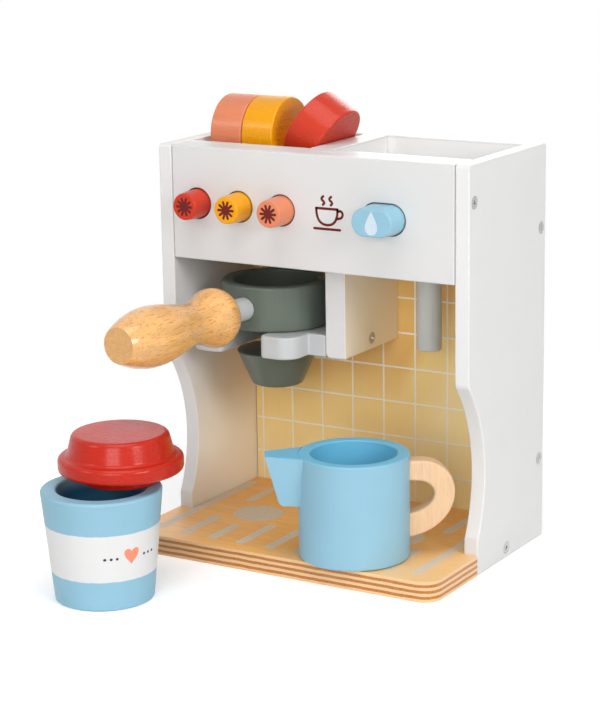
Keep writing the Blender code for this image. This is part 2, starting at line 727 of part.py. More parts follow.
def build_portafilter():
    """Ring with a pod cup, cone below the fork, dowel and turned handle."""
    group = group_at("portafilter_axis", (BREW_X, BREW_Y, RING_Z), PORTAFILTER_TURN)
    ring_corners = (
        (0, 0), (RING_RADIUS, 0), (RING_RADIUS, RING_HEIGHT), (RING_BORE_RADIUS, RING_HEIGHT),
        (RING_BORE_RADIUS, RING_FLOOR), (0, RING_FLOOR),
    )
    ring_radii = (0, RING_EDGE, RING_EDGE, RING_EDGE, 0, 0)
    profile = fillet(ring_corners, ring_radii, closed=False)
    ring = add_object("portafilter_ring", turned("portafilter_ring", profile), SLATE_PAINT)
    neck_radius = FORK_MOUTH / 2 - FORK_SHIFT - NECK_PLAY
    cone_top = CONE_TOP_Z - RING_Z
    cone_low = cone_top - CONE_HEIGHT
    cone_corners = (
        (0, cone_low), (CONE_TIP_RADIUS, cone_low), (CONE_RADIUS, cone_top),
        (neck_radius, cone_top), (neck_radius, -GAP), (SPIGOT_RADIUS, -GAP),
        (SPIGOT_RADIUS, SPIGOT_LENGTH), (0, SPIGOT_LENGTH),
    )
    cone_radii = (0, CONE_TIP_EDGE, EDGE, 0, 0, 0, 0, 0)
    profile = fillet(cone_corners, cone_radii, closed=False)
    cone = add_object("portafilter_cone", turned("portafilter_cone", profile), SLATE_PAINT)
    spigot_hole = round_cutter(
        "spigot_hole", rod_profile(SPIGOT_RADIUS + GAP, -OVERRUN, SPIGOT_LENGTH + GAP),
        (0, 0, 0),
    )
    dowel_low = RING_RADIUS - DOWEL_IN_RING
    handle_low = RING_RADIUS + DOWEL_SHOWN
    dowel_high = handle_low + DOWEL_IN_HANDLE
    forward = (math.pi / 2, 0, 0)
    middle = (0, 0, RING_HEIGHT / 2)
    profile = rod_profile(DOWEL_RADIUS, dowel_low, dowel_high)
    dowel = add_object(
        "portafilter_dowel", turned("portafilter_dowel", profile, SMALL_STEPS), GREY_PAINT,
    )
    bore_profile = rod_profile(DOWEL_RADIUS + GAP, dowel_low - GAP, dowel_high + GAP)
    dowel_bore = round_cutter("dowel_bore", bore_profile, middle, forward)
    outline = smooth_outline(HANDLE_OUTLINE_SHARES, HANDLE_LENGTH, HANDLE_RADIUS, 2)
    profile = [(0, 0)] + outline + [(0, HANDLE_LENGTH)]
    profile = [(point[0], point[1] + handle_low) for point in profile]
    handle = add_object(
        "portafilter_handle", turned("portafilter_handle", profile, SMALL_STEPS), BEECH,
    )
    for piece in (dowel, handle):
        piece.location = middle
        piece.rotation_euler = forward
    cut(ring, spigot_hole)
    cut(ring, dowel_bore)
    cut(handle, dowel_bore)
    for piece in (ring, cone, dowel, handle, spigot_hole, dowel_bore):
        piece.parent = group


def build_pods():
    """Two pods upright in the tray, and the red one leaning on the partition's edge."""
    half = POD_THICKNESS / 2
    corners = ((0, -half), (POD_RADIUS, -half), (POD_RADIUS, half), (0, half))
    profile = fillet(corners, (0, POD_EDGE, POD_EDGE, 0), steps=2, closed=False)
    peach_x = -INNER_X + FIRST_POD_INSET + half
    mustard_x = peach_x + POD_THICKNESS + GAP
    upright_z = TRAY_Z + GAP + POD_RADIUS
    sine, cosine = math.sin(RED_POD_LEAN), math.cos(RED_POD_LEAN)
    red_z = TRAY_Z + GAP + half * sine + POD_RADIUS * cosine
    over = (HEIGHT - red_z + half * sine) * sine / cosine
    red_x = PARTITION_LEFT - half * cosine - over - 2 * GAP
    places = (
        ("peach_pod", PEACH_PAINT, peach_x, upright_z, 0),
        ("mustard_pod", MUSTARD_PAINT, mustard_x, upright_z, 0),
        ("red_pod", RED_PAINT, red_x, red_z, RED_POD_LEAN),
    )
    for name, coat, x, z, lean in places:
        made = add_object(name, turned(name, profile, ROUND_STEPS), coat)
        made.location = (x, BAY_MIDDLE_Y, z)
        made.rotation_euler = (0, math.pi / 2 + lean, 0)


def build_jug():
    """Milk jug: turned body, wedge spout glued to one side, ear handle to the other."""
    group = group_at("jug_axis", (JUG_X, JUG_Y, BASE_THICKNESS + GAP), JUG_TURN)
    bore = JUG_RADIUS - JUG_WALL
    corners = (
        (0, 0), (JUG_RADIUS, 0), (JUG_RADIUS, JUG_HEIGHT), (bore, JUG_HEIGHT),
        (bore, JUG_FLOOR), (0, JUG_FLOOR),
    )
    radii = (0, JUG_EDGE, JUG_EDGE, JUG_EDGE, JUG_EDGE, 0)
    profile = fillet(corners, radii, steps=2, closed=False)
    body = add_object("jug_body", turned("jug_body", profile), BLUE_PAINT)
    saddle = round_cutter(
        "jug_saddle", rod_profile(JUG_RADIUS + GAP, -OVERRUN, JUG_HEIGHT + OVERRUN), (0, 0, 0),
        steps=ROUND_STEPS,
    )
    spout = build_spout()
    handle = build_jug_handle()
    cut(spout, saddle)
    cut(handle, saddle)
    for piece in (body, spout, handle, saddle):
        piece.parent = group


def build_spout():
    """A wedge that narrows to its tip and downwards, with its lower corner rounded."""
    inner = JUG_RADIUS - JUG_WALL
    low = JUG_HEIGHT - SPOUT_DEPTH
    side = fillet(
        ((-inner, low), (-SPOUT_LOW_REACH, low), (-SPOUT_REACH, JUG_HEIGHT)),
        (0, SPOUT_CORNER_RADIUS, 0), closed=False,
    )
    root_x = -JUG_RADIUS * math.cos(math.asin(SPOUT_WIDTH / 2 / JUG_RADIUS))
    rings = []
    for x, z in side[1:]:
        rise = (z - low) / SPOUT_DEPTH
        root = (SPOUT_LOW_WIDTH + (SPOUT_WIDTH - SPOUT_LOW_WIDTH) * rise) / 2
        along = (x - root_x) / (-SPOUT_REACH - root_x)
        tip = root + (SPOUT_TIP_WIDTH / 2 - root) * along
        rings.append((
            (-inner, root, z), (root_x, root, z), (x, tip, z),
            (x, -tip, z), (root_x, -root, z), (-inner, -root, z),
        ))
    made = add_object("jug_spout", loft("jug_spout", rings), BLUE_PAINT)
    ease_edges(made)
    return made


def build_jug_handle():
    """An ear-shaped loop sawn from a board, its two ends shaped to the jug's round side."""
    inner = JUG_RADIUS - JUG_WALL
    steps = 2 * FILLET_STEPS
    outer_top = elliptic(
        (JUG_HANDLE_SHOULDER, JUG_HANDLE_MIDDLE), JUG_HANDLE_REACH - JUG_HANDLE_SHOULDER,
        JUG_HANDLE_TOP - JUG_HANDLE_MIDDLE, 90, 0, steps,
    )
    outer_low = elliptic(
        (inner, JUG_HANDLE_MIDDLE), JUG_HANDLE_REACH - inner,
        JUG_HANDLE_MIDDLE - JUG_HANDLE_BOTTOM, 0, -90, steps,
    )
    gap_low = elliptic(
        (inner, FINGER_GAP_MIDDLE), FINGER_GAP_REACH - inner,
        FINGER_GAP_MIDDLE - FINGER_GAP_BOTTOM, -90, 0, steps,
    )
    gap_top = elliptic(
        (FINGER_GAP_SHOULDER, FINGER_GAP_MIDDLE), FINGER_GAP_REACH - FINGER_GAP_SHOULDER,
        FINGER_GAP_TOP - FINGER_GAP_MIDDLE, 0, 90, FILLET_STEPS,
    )
    outline = [(inner, JUG_HANDLE_TOP)] + outer_top + outer_low[1:] + gap_low + gap_top[1:]
    outline.append((inner, FINGER_GAP_TOP))
    half = JUG_HANDLE_THICKNESS / 2
    made = add_object("jug_handle", prism("jug_handle", outline, "Y", -half, half), BEECH)
    ease_edges(made, JUG_HANDLE_EDGE, 2)
    return made


def build_cup():
    corners = (
        (0, 0), (CUP_BASE_RADIUS, 0), (CUP_RADIUS, CUP_HEIGHT), (CUP_BORE_RADIUS, CUP_HEIGHT),
        (CUP_BORE_BASE_RADIUS, CUP_FLOOR), (0, CUP_FLOOR),
    )
    profile = fillet(corners, (0, CUP_EDGE, CUP_EDGE, CUP_EDGE, 0, 0), steps=2, closed=False)
    made = add_object("cup_body", turned("cup_body", profile), BLUE_PAINT)
    made.location = (CUP_X, CUP_Y, 0)


def build_lid():
    """Turned lid with a plug below, a thick rim and a flat-topped dome that sweeps out to it."""
    rim_low = PLUG_HEIGHT
    rim_high = rim_low + LID_RIM_HEIGHT
    top = rim_low + LID_HEIGHT
    corners = (
        (0, 0), (PLUG_RADIUS, 0), (PLUG_RADIUS, rim_low), (LID_RADIUS, rim_low),
        (LID_RADIUS, rim_high), (LID_DOME_RADIUS, rim_high), (LID_TOP_RADIUS, top), (0, top),
    )
    radii = (0, EDGE, 0, LID_RIM_EDGE, LID_RIM_EDGE, LID_SWEEP_RADIUS, LID_DOME_EDGE, 0)
    profile = fillet(corners, radii, steps=2, closed=False)
    made = add_object("cup_lid", turned("cup_lid", profile), RED_PAINT)
    made.location = (CUP_X + LID_SHIFT_X, CUP_Y + LID_SHIFT_Y, CUP_HEIGHT + GAP)


def main():
    clear_scene()
    base = build_base_board()
    left, right = build_side_panels()
    front, backing = build_front_boards()
    back, head_floor = build_inner_boards()
    divider = build_group_divider()
    fork = build_fork()
    build_steam_wand(head_floor)
    build_screws({piece.name: piece for piece in (base, left, right, front, back, divider, fork)})
    build_buttons()
    build_portafilter()
    build_pods()
    build_jug()
    build_cup()
    build_lid()


main()
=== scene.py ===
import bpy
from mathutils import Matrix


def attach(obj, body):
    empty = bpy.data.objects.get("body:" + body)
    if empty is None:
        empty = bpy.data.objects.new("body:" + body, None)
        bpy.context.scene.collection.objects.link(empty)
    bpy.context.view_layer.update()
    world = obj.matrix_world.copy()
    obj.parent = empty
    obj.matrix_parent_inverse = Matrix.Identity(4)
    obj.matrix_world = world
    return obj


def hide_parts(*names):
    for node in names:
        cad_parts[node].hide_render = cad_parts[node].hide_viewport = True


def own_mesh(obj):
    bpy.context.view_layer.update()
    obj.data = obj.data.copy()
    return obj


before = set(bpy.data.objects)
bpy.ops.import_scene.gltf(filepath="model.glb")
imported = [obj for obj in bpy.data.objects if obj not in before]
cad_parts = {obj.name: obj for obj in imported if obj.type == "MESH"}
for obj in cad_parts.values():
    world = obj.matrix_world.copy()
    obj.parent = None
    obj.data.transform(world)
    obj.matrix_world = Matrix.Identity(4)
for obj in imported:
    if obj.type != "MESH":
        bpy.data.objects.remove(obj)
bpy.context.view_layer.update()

import math

import bmesh
import bpy
from mathutils import Matrix, Vector

MM = 0.001

# Shared clearances and finish
GAP = 0.3 * MM
OVERRUN = 2 * MM
EDGE = 0.8 * MM

# Carcass
WIDTH = 206 * MM
BASE_LENGTH = 144 * MM
SIDE_DEPTH = 100 * MM
HEIGHT = 240 * MM
HEAD_HEIGHT = 67.8 * MM
SIDE_THICKNESS = 9 * MM
BASE_THICKNESS = 12 * MM
FRONT_THICKNESS = 13 * MM
BACKING_THICKNESS = 9 * MM
BACK_THICKNESS = 12 * MM
HEAD_FLOOR_THICKNESS = 9 * MM
LIP_CORNER_RADIUS = 11 * MM

# Scalloped front edge of the side panels
FOOT_SETBACK = 12 * MM
FOOT_HEIGHT = 21 * MM
SCALLOP_DEPTH = 21 * MM
SCALLOP_MIDDLE_Z = 59 * MM
SCALLOP_TOP_Z = 114 * MM
SCALLOP_CORNER_RADIUS = 5 * MM
REAR_CORNER_RADIUS = 3 * MM
FRONT_CORNER_RADIUS = 2 * MM

# Compartments in the top
POD_TRAY_DEPTH = 21 * MM
POD_TRAY_THICKNESS = 9 * MM
POD_TRAY_WIDTH = 82 * MM
PARTITION_THICKNESS = 16 * MM

# Group bay: hanging divider, fork and steam wand
BREW_BAY_WIDTH = 91.2 * MM
DIVIDER_THICKNESS = 13.3 * MM
DIVIDER_DROP = 56.6 * MM
DIVIDER_CORNER_RADIUS = 3 * MM
FORK_DROP = 43.2 * MM
FORK_THICKNESS = 13.5 * MM
FORK_REACH = 19 * MM
FORK_WIDTH = 73 * MM
FORK_MOUTH = 27 * MM
FORK_SHIFT = 3 * MM
FORK_CORNER_RADIUS = 11 * MM
FORK_TIP_RADIUS = 4 * MM
WAND_RADIUS = 7.4 * MM
WAND_DROP = 51.4 * MM
WAND_Y = 21 * MM
WAND_TIP_RADIUS = 1 * MM
TENON_RADIUS = 5 * MM
TENON_LENGTH = 6 * MM

# Push buttons
BUTTON_INSET = 17.9 * MM
BUTTON_PITCH = 28.8 * MM
BUTTON_HOLE_RADIUS = 9.2 * MM
BUTTON_PLAY = 0.5 * MM
BUTTON_TAPER = 0.7 * MM
BUTTON_CHAMFER = 1 * MM
BUTTON_REACH = 14.5 * MM
BUTTON_LIP = 4 * MM
FLANGE_RADIUS = 11 * MM
FLANGE_THICKNESS = 2.5 * MM
POCKET_DEPTH = 5 * MM
WATER_INSET = 45 * MM
WATER_STRAIGHT = 9.8 * MM
SPRING_RADIUS = 5.6 * MM
SPRING_WIRE_RADIUS = 0.4 * MM
SPRING_TURNS = 4
SPRING_POINTS_PER_TURN = 8

# Portafilter
BREW_Y = 13.7 * MM
PORTAFILTER_TURN = math.radians(-5.2)
RING_RADIUS = 33 * MM
RING_BORE_RADIUS = 26 * MM
RING_HEIGHT = 27.2 * MM
RING_FLOOR = 7 * MM
RING_EDGE = 1.6 * MM
NECK_PLAY = 0.5 * MM
SPIGOT_RADIUS = 5.5 * MM
SPIGOT_LENGTH = 4.5 * MM
CONE_RADIUS = 24.8 * MM
CONE_TIP_RADIUS = 15.2 * MM
CONE_HEIGHT = 21.5 * MM
CONE_TIP_EDGE = 2.5 * MM
CONE_CLEARANCE = 3 * MM
DOWEL_RADIUS = 7 * MM
DOWEL_SHOWN = 21.8 * MM
DOWEL_IN_RING = 4 * MM
DOWEL_IN_HANDLE = 16 * MM
HANDLE_LENGTH = 92 * MM
HANDLE_RADIUS = 17.6 * MM
# Share of the handle's length, then share of its largest radius
HANDLE_OUTLINE_SHARES = (
    (0.0, 0.84), (0.015, 0.92), (0.05, 0.985), (0.1, 1.0), (0.17, 0.87), (0.24, 0.75),
    (0.31, 0.7), (0.38, 0.745), (0.46, 0.83), (0.56, 0.93), (0.66, 0.995), (0.76, 0.99),
    (0.85, 0.9), (0.92, 0.785), (0.97, 0.68), (1.0, 0.6),
)

# Coffee pods
POD_RADIUS = 22.6 * MM
POD_THICKNESS = 21.6 * MM
POD_EDGE = 1.2 * MM
FIRST_POD_INSET = 6.3 * MM
RED_POD_LEAN = math.radians(31.7)

# Milk jug
JUG_INSET = 54.9 * MM
JUG_SETBACK = 25 * MM
JUG_TURN = math.radians(32)
JUG_RADIUS = 32.1 * MM
JUG_HEIGHT = 61.3 * MM
JUG_WALL = 7 * MM
JUG_FLOOR = 7 * MM
JUG_EDGE = 1 * MM
SPOUT_REACH = 51 * MM
SPOUT_LOW_REACH = 42.8 * MM
SPOUT_DEPTH = 29.4 * MM
SPOUT_WIDTH = 27 * MM
SPOUT_LOW_WIDTH = 17 * MM
SPOUT_TIP_WIDTH = 12 * MM
SPOUT_CORNER_RADIUS = 4 * MM
JUG_HANDLE_REACH = 57.8 * MM
JUG_HANDLE_TOP = 56.8 * MM
JUG_HANDLE_BOTTOM = 10.6 * MM
JUG_HANDLE_MIDDLE = 38 * MM
JUG_HANDLE_SHOULDER = 39 * MM
JUG_HANDLE_THICKNESS = 11 * MM
JUG_HANDLE_EDGE = 1.5 * MM
FINGER_GAP_REACH = 45.8 * MM
FINGER_GAP_TOP = 44.8 * MM
FINGER_GAP_BOTTOM = 24.8 * MM
FINGER_GAP_MIDDLE = 37 * MM
FINGER_GAP_SHOULDER = 36 * MM

# Cup and lid
CUP_SHIFT = 19.2 * MM
CUP_STANDOFF = 73.4 * MM
CUP_RADIUS = 34.4 * MM
CUP_BASE_RADIUS = 28.1 * MM
CUP_HEIGHT_SHARE = 0.812
CUP_BORE_RADIUS = 25.6 * MM
CUP_BORE_BASE_RADIUS = 21 * MM
CUP_FLOOR = 9 * MM
CUP_EDGE = 1.5 * MM
LID_SHIFT_X = 3 * MM
LID_SHIFT_Y = 15.4 * MM
LID_RADIUS = 35.6 * MM
LID_RIM_HEIGHT = 9.5 * MM
LID_HEIGHT = 22.5 * MM
LID_DOME_RADIUS = 30.6 * MM
LID_TOP_RADIUS = 27.4 * MM
LID_SWEEP_RADIUS = 2.6 * MM
LID_RIM_EDGE = 2.8 * MM
LID_DOME_EDGE = 3.4 * MM
PLUG_RADIUS = 22 * MM
PLUG_HEIGHT = 6 * MM

# Wood screws
SCREW_HEAD_RADIUS = 3.5 * MM
SCREW_HEAD_DEPTH = 2.2 * MM
SCREW_SHANK_RADIUS = 1.7 * MM
SCREW_LENGTH = 20 * MM
SCREW_POINT = 3 * MM
FRONT_SCREW_DROP = 21.4 * MM
BACK_SCREW_INSET = 49.5 * MM

# Facets
ROUND_STEPS = 96
SMALL_STEPS = 64
SCREW_STEPS = 32
FILLET_STEPS = 6
SMOOTH_ANGLE = math.radians(40)

# Places that follow from the sizes above
REAR_Y = BASE_LENGTH / 2
LIP_Y = -BASE_LENGTH / 2
FRONT_Y = REAR_Y - SIDE_DEPTH
FOOT_Y = FRONT_Y + FOOT_SETBACK
INNER_X = WIDTH / 2 - SIDE_THICKNESS
BOARD_X = INNER_X - GAP
BACK_FACE_Y = REAR_Y - BACK_THICKNESS
BACKING_Y = FRONT_Y + FRONT_THICKNESS + GAP
BAY_FRONT_Y = BACKING_Y + BACKING_THICKNESS + GAP
BAY_REAR_Y = BACK_FACE_Y - GAP
BAY_MIDDLE_Y = (BAY_FRONT_Y + BAY_REAR_Y) / 2
HEAD_Z = HEIGHT - HEAD_HEIGHT
TRAY_Z = HEIGHT - POD_TRAY_DEPTH
DIVIDER_LEFT = BREW_BAY_WIDTH - INNER_X
DIVIDER_RIGHT = DIVIDER_LEFT + DIVIDER_THICKNESS
PARTITION_LEFT = POD_TRAY_WIDTH - INNER_X
PARTITION_RIGHT = PARTITION_LEFT + PARTITION_THICKNESS
BREW_X = BREW_BAY_WIDTH / 2 - INNER_X
FORK_TOP_Z = HEAD_Z - FORK_DROP
FORK_LOW_Z = FORK_TOP_Z - FORK_THICKNESS
CONE_TOP_Z = FORK_LOW_Z - CONE_CLEARANCE
FORK_X = BREW_X - FORK_SHIFT
BUTTON_FIRST_X = BUTTON_INSET - INNER_X
WATER_X = INNER_X - WATER_INSET
BUTTON_Z = HEAD_Z + HEAD_HEIGHT / 2
LIP_REAR_Y = FRONT_Y + BUTTON_LIP
BUTTON_RADIUS = BUTTON_HOLE_RADIUS - BUTTON_PLAY
POCKET_RADIUS = FLANGE_RADIUS + BUTTON_PLAY
RING_Z = FORK_TOP_Z + GAP
DOWEL_Z = RING_Z + RING_HEIGHT / 2
WAND_X = (DIVIDER_RIGHT + INNER_X) / 2
JUG_X = INNER_X - JUG_INSET
JUG_Y = LIP_Y + JUG_SETBACK
CUP_X = BREW_X - CUP_SHIFT
CUP_Y = LIP_Y - CUP_STANDOFF
CUP_HEIGHT = CUP_HEIGHT_SHARE * (CONE_TOP_Z - CONE_HEIGHT - BASE_THICKNESS)


def fillet(outline, radii, steps=FILLET_STEPS, closed=True):
    """Round the corners of a 2D outline. A radius of zero keeps its corner."""
    points = [Vector(point) for point in outline]
    count = len(points)
    rounded = []
    for index, corner in enumerate(points):
        radius = radii[index]
        at_end = not closed and index in (0, count - 1)
        if radius == 0 or at_end:
            rounded.append(corner)
            continue
        back = (points[index - 1] - corner).normalized()
        ahead = (points[(index + 1) % count] - corner).normalized()
        half = back.angle(ahead) / 2
        tangent = radius / math.tan(half)
        centre = corner + (back + ahead).normalized() * (radius / math.sin(half))
        start = corner + back * tangent - centre
        end = corner + ahead * tangent - centre
        sweep = start.angle_signed(end)
        for step in range(steps + 1):
            turn = Matrix.Rotation(-sweep * step / steps, 2)
            rounded.append(centre + turn @ start)
    return rounded


def elliptic(centre, across, up, start, end, steps):
    """Points of an elliptic arc between two angles in degrees, both ends included."""
    found = []
    for step in range(steps + 1):
        angle = math.radians(start + (end - start) * step / steps)
        found.append(Vector((
            centre[0] + across * math.cos(angle),
            centre[1] + up * math.sin(angle),
        )))
    return found


def ring_of_circle(radius, height, steps):
    angles = [2 * math.pi * step / steps for step in range(steps)]
    return [(radius * math.cos(a), radius * math.sin(a), height) for a in angles]


def stadium_ring(radius, straight, height, steps):
    """A round-ended slot outline along X, at the given height along Z."""
    found = []
    quarter = steps // 4
    for side in (1, -1):
        for step in range(2 * quarter + 1):
            angle = math.pi * step / (2 * quarter) - side * math.pi / 2
            across = radius * math.cos(angle) + side * straight / 2
            found.append((across, radius * math.sin(angle), height))
    return found


def rod_profile(radius, low, high, tip=0.0):
    """A plain rod, with its low end rounded when a tip radius is given."""
    corner = [(0, low), (radius, low), (radius, high), (0, high)]
    return fillet(corner, (0, tip, 0, 0), closed=False)


def side_outline():
    """Profile of a side panel in (y, z), with two arcs that meet at the scallop's middle."""
    waist_y = FRONT_Y + SCALLOP_DEPTH
    upper = SCALLOP_TOP_Z - SCALLOP_MIDDLE_Z
    upper_radius = (upper ** 2 + SCALLOP_DEPTH ** 2) / (2 * SCALLOP_DEPTH)
    lower = SCALLOP_MIDDLE_Z - FOOT_HEIGHT
    lower_depth = waist_y - FOOT_Y
    lower_radius = (lower ** 2 + lower_depth ** 2) / (2 * lower_depth)
    upper_angle = math.degrees(math.asin(upper / upper_radius))
    lower_angle = math.degrees(math.asin(lower / lower_radius))
    steps = 3 * FILLET_STEPS
    upper_centre = (waist_y - upper_radius, SCALLOP_MIDDLE_Z)
    lower_centre = (waist_y - lower_radius, SCALLOP_MIDDLE_Z)
    arc = elliptic(upper_centre, upper_radius, upper_radius, upper_angle, 0, steps)
    arc += elliptic(lower_centre, lower_radius, lower_radius, 0, -lower_angle, steps)[1:]
    corners = [(REAR_Y, 0), (REAR_Y, HEIGHT), (FRONT_Y, HEIGHT)] + arc + [(FOOT_Y, 0)]
    radii = [0, REAR_CORNER_RADIUS, FRONT_CORNER_RADIUS, SCALLOP_CORNER_RADIUS] + [0] * len(arc)
    return fillet(corners, radii)


def button_places():
    """Each button's name, its coat, its place along X and its straight length."""
    coats = (("red", None), ("mustard", None), ("peach", None))
    places = []
    for index, (name, coat) in enumerate(coats):
        places.append((name + "_button", coat, BUTTON_FIRST_X + index * BUTTON_PITCH, 0))
    return places + [("water_button", None, WATER_X, WATER_STRAIGHT)]


def button_rings(sections, straight):
    """Round or round-ended outlines for (radius, height) sections of a button or its hole."""
    if straight:
        return [stadium_ring(radius, straight, z, SMALL_STEPS) for radius, z in sections]
    return [ring_of_circle(radius, z, SMALL_STEPS) for radius, z in sections]


def screw_profile(grow=0.0):
    """A countersunk screw along -Z from its head at the origin, or its hole when grown."""
    head = SCREW_HEAD_RADIUS + grow
    shank = SCREW_SHANK_RADIUS + grow
    top = OVERRUN if grow else 0
    neck = -SCREW_HEAD_DEPTH - grow
    point = -SCREW_LENGTH - grow
    profile = [(0, point), (shank / 2, point), (shank, point + SCREW_POINT), (shank, neck)]
    profile += [(head, 0), (head, top)] if grow else [(head, 0)]
    return profile + [(0, top)]


def screw_places():
    """Each screw's name, its head, the way that it is driven along X, and what it joins."""
    front_y = FRONT_Y + FRONT_THICKNESS / 2
    back_y = BACK_FACE_Y + BACK_THICKNESS / 2
    base_y = (FOOT_Y + BACK_FACE_Y) / 2
    fork_z = (FORK_TOP_Z + FORK_LOW_Z) / 2
    joints = (
        ("front", front_y, HEIGHT - FRONT_SCREW_DROP, "front_panel"),
        ("upper_back", back_y, HEIGHT - BACK_SCREW_INSET, "back_panel"),
        ("lower_back", back_y, BACK_SCREW_INSET, "back_panel"),
        ("base", base_y, BASE_THICKNESS / 2, "base_board"),
    )
    places = []
    for side, sign in (("left", -1), ("right", 1)):
        for joint, y, z, inner in joints:
            head = (sign * WIDTH / 2, y, z)
            places.append((side + "_" + joint + "_screw", head, -sign, side + "_side_panel", inner))
    fork = "portafilter_fork"
    outer_head = (-WIDTH / 2, BAY_MIDDLE_Y, fork_z)
    inner_head = (DIVIDER_RIGHT, BAY_MIDDLE_Y, fork_z)
    places.append(("left_fork_screw", outer_head, 1, "left_side_panel", fork))
    places.append(("divider_fork_screw", inner_head, -1, "group_divider", fork))
    return places


def screw_matrix(place, direction):
    """Stand the screw's own -Z along +X or -X."""
    return Matrix.Translation(place) @ Matrix.Rotation(-direction * math.pi / 2, 4, "Y")


def smooth_outline(shares, length, radius, steps):
    """A smooth curve through listed stations of a turned shape."""
    points = [Vector((share_r * radius, share_s * length)) for share_s, share_r in shares]
    found = []
    for index in range(len(points) - 1):
        before = points[max(index - 1, 0)]
        here, after = points[index], points[index + 1]
        beyond = points[min(index + 2, len(points) - 1)]
        for step in range(steps):
            t = step / steps
            blend = (
                (after - before) * t
                + (2 * before - 5 * here + 4 * after - beyond) * t ** 2
                + (3 * here - before - 3 * after + beyond) * t ** 3
            )
            found.append(here + blend / 2)
    found.append(points[-1])
    return found


SMOOTH_ANGLE = math.radians(38)
made_pieces = {}
looks = {}


# Node trees

class Look:
    """A Principled material whose inputs are fed by small node functions."""

    def __init__(self, name, roughness=0.5, metallic=0.0, coat=0.0, coat_roughness=0.1, gloss=0.5):
        self.material = bpy.data.materials.new(name)
        self.material.use_nodes = True
        self.tree = self.material.node_tree
        self.shader = self.tree.nodes["Principled BSDF"]
        self.shader.inputs["Roughness"].default_value = roughness
        self.shader.inputs["Metallic"].default_value = metallic
        self.shader.inputs["Coat Weight"].default_value = coat
        self.shader.inputs["Specular IOR Level"].default_value = gloss
        self.shader.inputs["Coat Roughness"].default_value = coat_roughness
        place = self.node("ShaderNodeTexCoord")
        self.place = place.outputs["Object"]
        self.facing = place.outputs["Normal"]
        parts = self.node("ShaderNodeSeparateXYZ", {"Vector": self.place})
        self.x, self.y, self.z = parts.outputs
        looks[name] = self

    def node(self, kind, values=None, **settings):
        made = self.tree.nodes.new(kind)
        for key, value in settings.items():
            setattr(made, key, value)
        for key, value in (values or {}).items():
            if isinstance(value, bpy.types.NodeSocket):
                self.tree.links.new(value, made.inputs[key])
            else:
                made.inputs[key].default_value = value
        return made

    def feed(self, name, socket):
        self.tree.links.new(socket, self.shader.inputs[name])

    def math(self, operation, a, b=0.0, clamp=False):
        made = self.node("ShaderNodeMath", {0: a, 1: b}, operation=operation, use_clamp=clamp)
        return made.outputs[0]

    def span(self, value, low, high, to_low=0.0, to_high=1.0, smooth=True):
        """Value's stretch from low to high, eased to another stretch."""
        made = self.node(
            "ShaderNodeMapRange",
            {"Value": value, "From Min": low, "From Max": high, "To Min": to_low, "To Max": to_high},
            interpolation_type="SMOOTHSTEP" if smooth else "LINEAR",
        )
        return made.outputs["Result"]

    def stretch(self, scale, place=None):
        made = self.node("ShaderNodeMapping", {"Vector": place or self.place, "Scale": scale})
        return made.outputs["Vector"]

    def noise(self, scale, detail=2.0, rough=0.5, place=None, distortion=0.0):
        values = {
            "Vector": place or self.place, "Scale": scale, "Detail": detail,
            "Roughness": rough, "Distortion": distortion,
        }
        return self.node("ShaderNodeTexNoise", values).outputs["Fac"]

    def mix(self, factor, a, b):
        made = self.node("ShaderNodeMix", data_type="RGBA")
        for index, value in ((0, factor), (6, a), (7, b)):
            if isinstance(value, bpy.types.NodeSocket):
                self.tree.links.new(value, made.inputs[index])
            else:
                made.inputs[index].default_value = (*value, 1.0) if index else value
        return made.outputs[2]

    def bump(self, height, distance, strength=1.0, after=None):
        values = {"Height": height, "Distance": distance, "Strength": strength}
        if after is not None:
            values["Normal"] = after
        return self.node("ShaderNodeBump", values).outputs["Normal"]


def shade(colour, factor):
    return tuple(min(channel * factor, 1.0) for channel in colour)


def along(axis, across, lengthwise):
    """Scale that draws a texture out along one axis."""
    return tuple(lengthwise if name == axis else across for name in "XYZ")


def paint(name, colour, roughness=0.42, axis="Z", relief=1.0, coat=0.0, grain=1.0, gloss=0.5):
    """Sprayed paint over wood: cloudy tone, faint raised fibres and a fine orange peel."""
    look = Look(name, roughness, coat=coat, coat_roughness=0.19, gloss=gloss)
    cloud = look.noise(22, 3, 0.55)
    fibre = look.noise(1.0, 3, 0.6, look.stretch(along(axis, 900, 34)), 0.4)
    fleck = look.noise(1.0, 2, 0.5, look.stretch(along(axis, 2100, 120)))
    mottle = 0.035 if grain > 0.3 else 0.01
    tone = look.mix(look.span(cloud, 0.3, 0.7), shade(colour, 1 - mottle), shade(colour, 1 + mottle / 2))
    lines = look.span(fibre, 0.52, 0.72, 0.0, 0.16 * grain)
    tone = look.mix(lines, tone, shade(colour, 0.72))
    specks = look.span(fleck, 0.66, 0.78, 0.0, 0.3 * grain)
    tone = look.mix(specks, tone, shade(colour, 0.66))
    look.feed("Base Color", tone)
    peel = look.noise(520, 2, 0.5)
    uneven = look.noise(60, 2, 0.5)
    look.feed("Roughness", look.span(uneven, 0.25, 0.75, roughness - 0.05, roughness + 0.07))
    normal = look.bump(peel, 0.00005 * relief)
    normal = look.bump(fibre, 0.00007 * relief * grain, after=normal)
    look.feed("Normal", normal)
    look.tone, look.normal, look.fibre = tone, normal, fibre
    return look


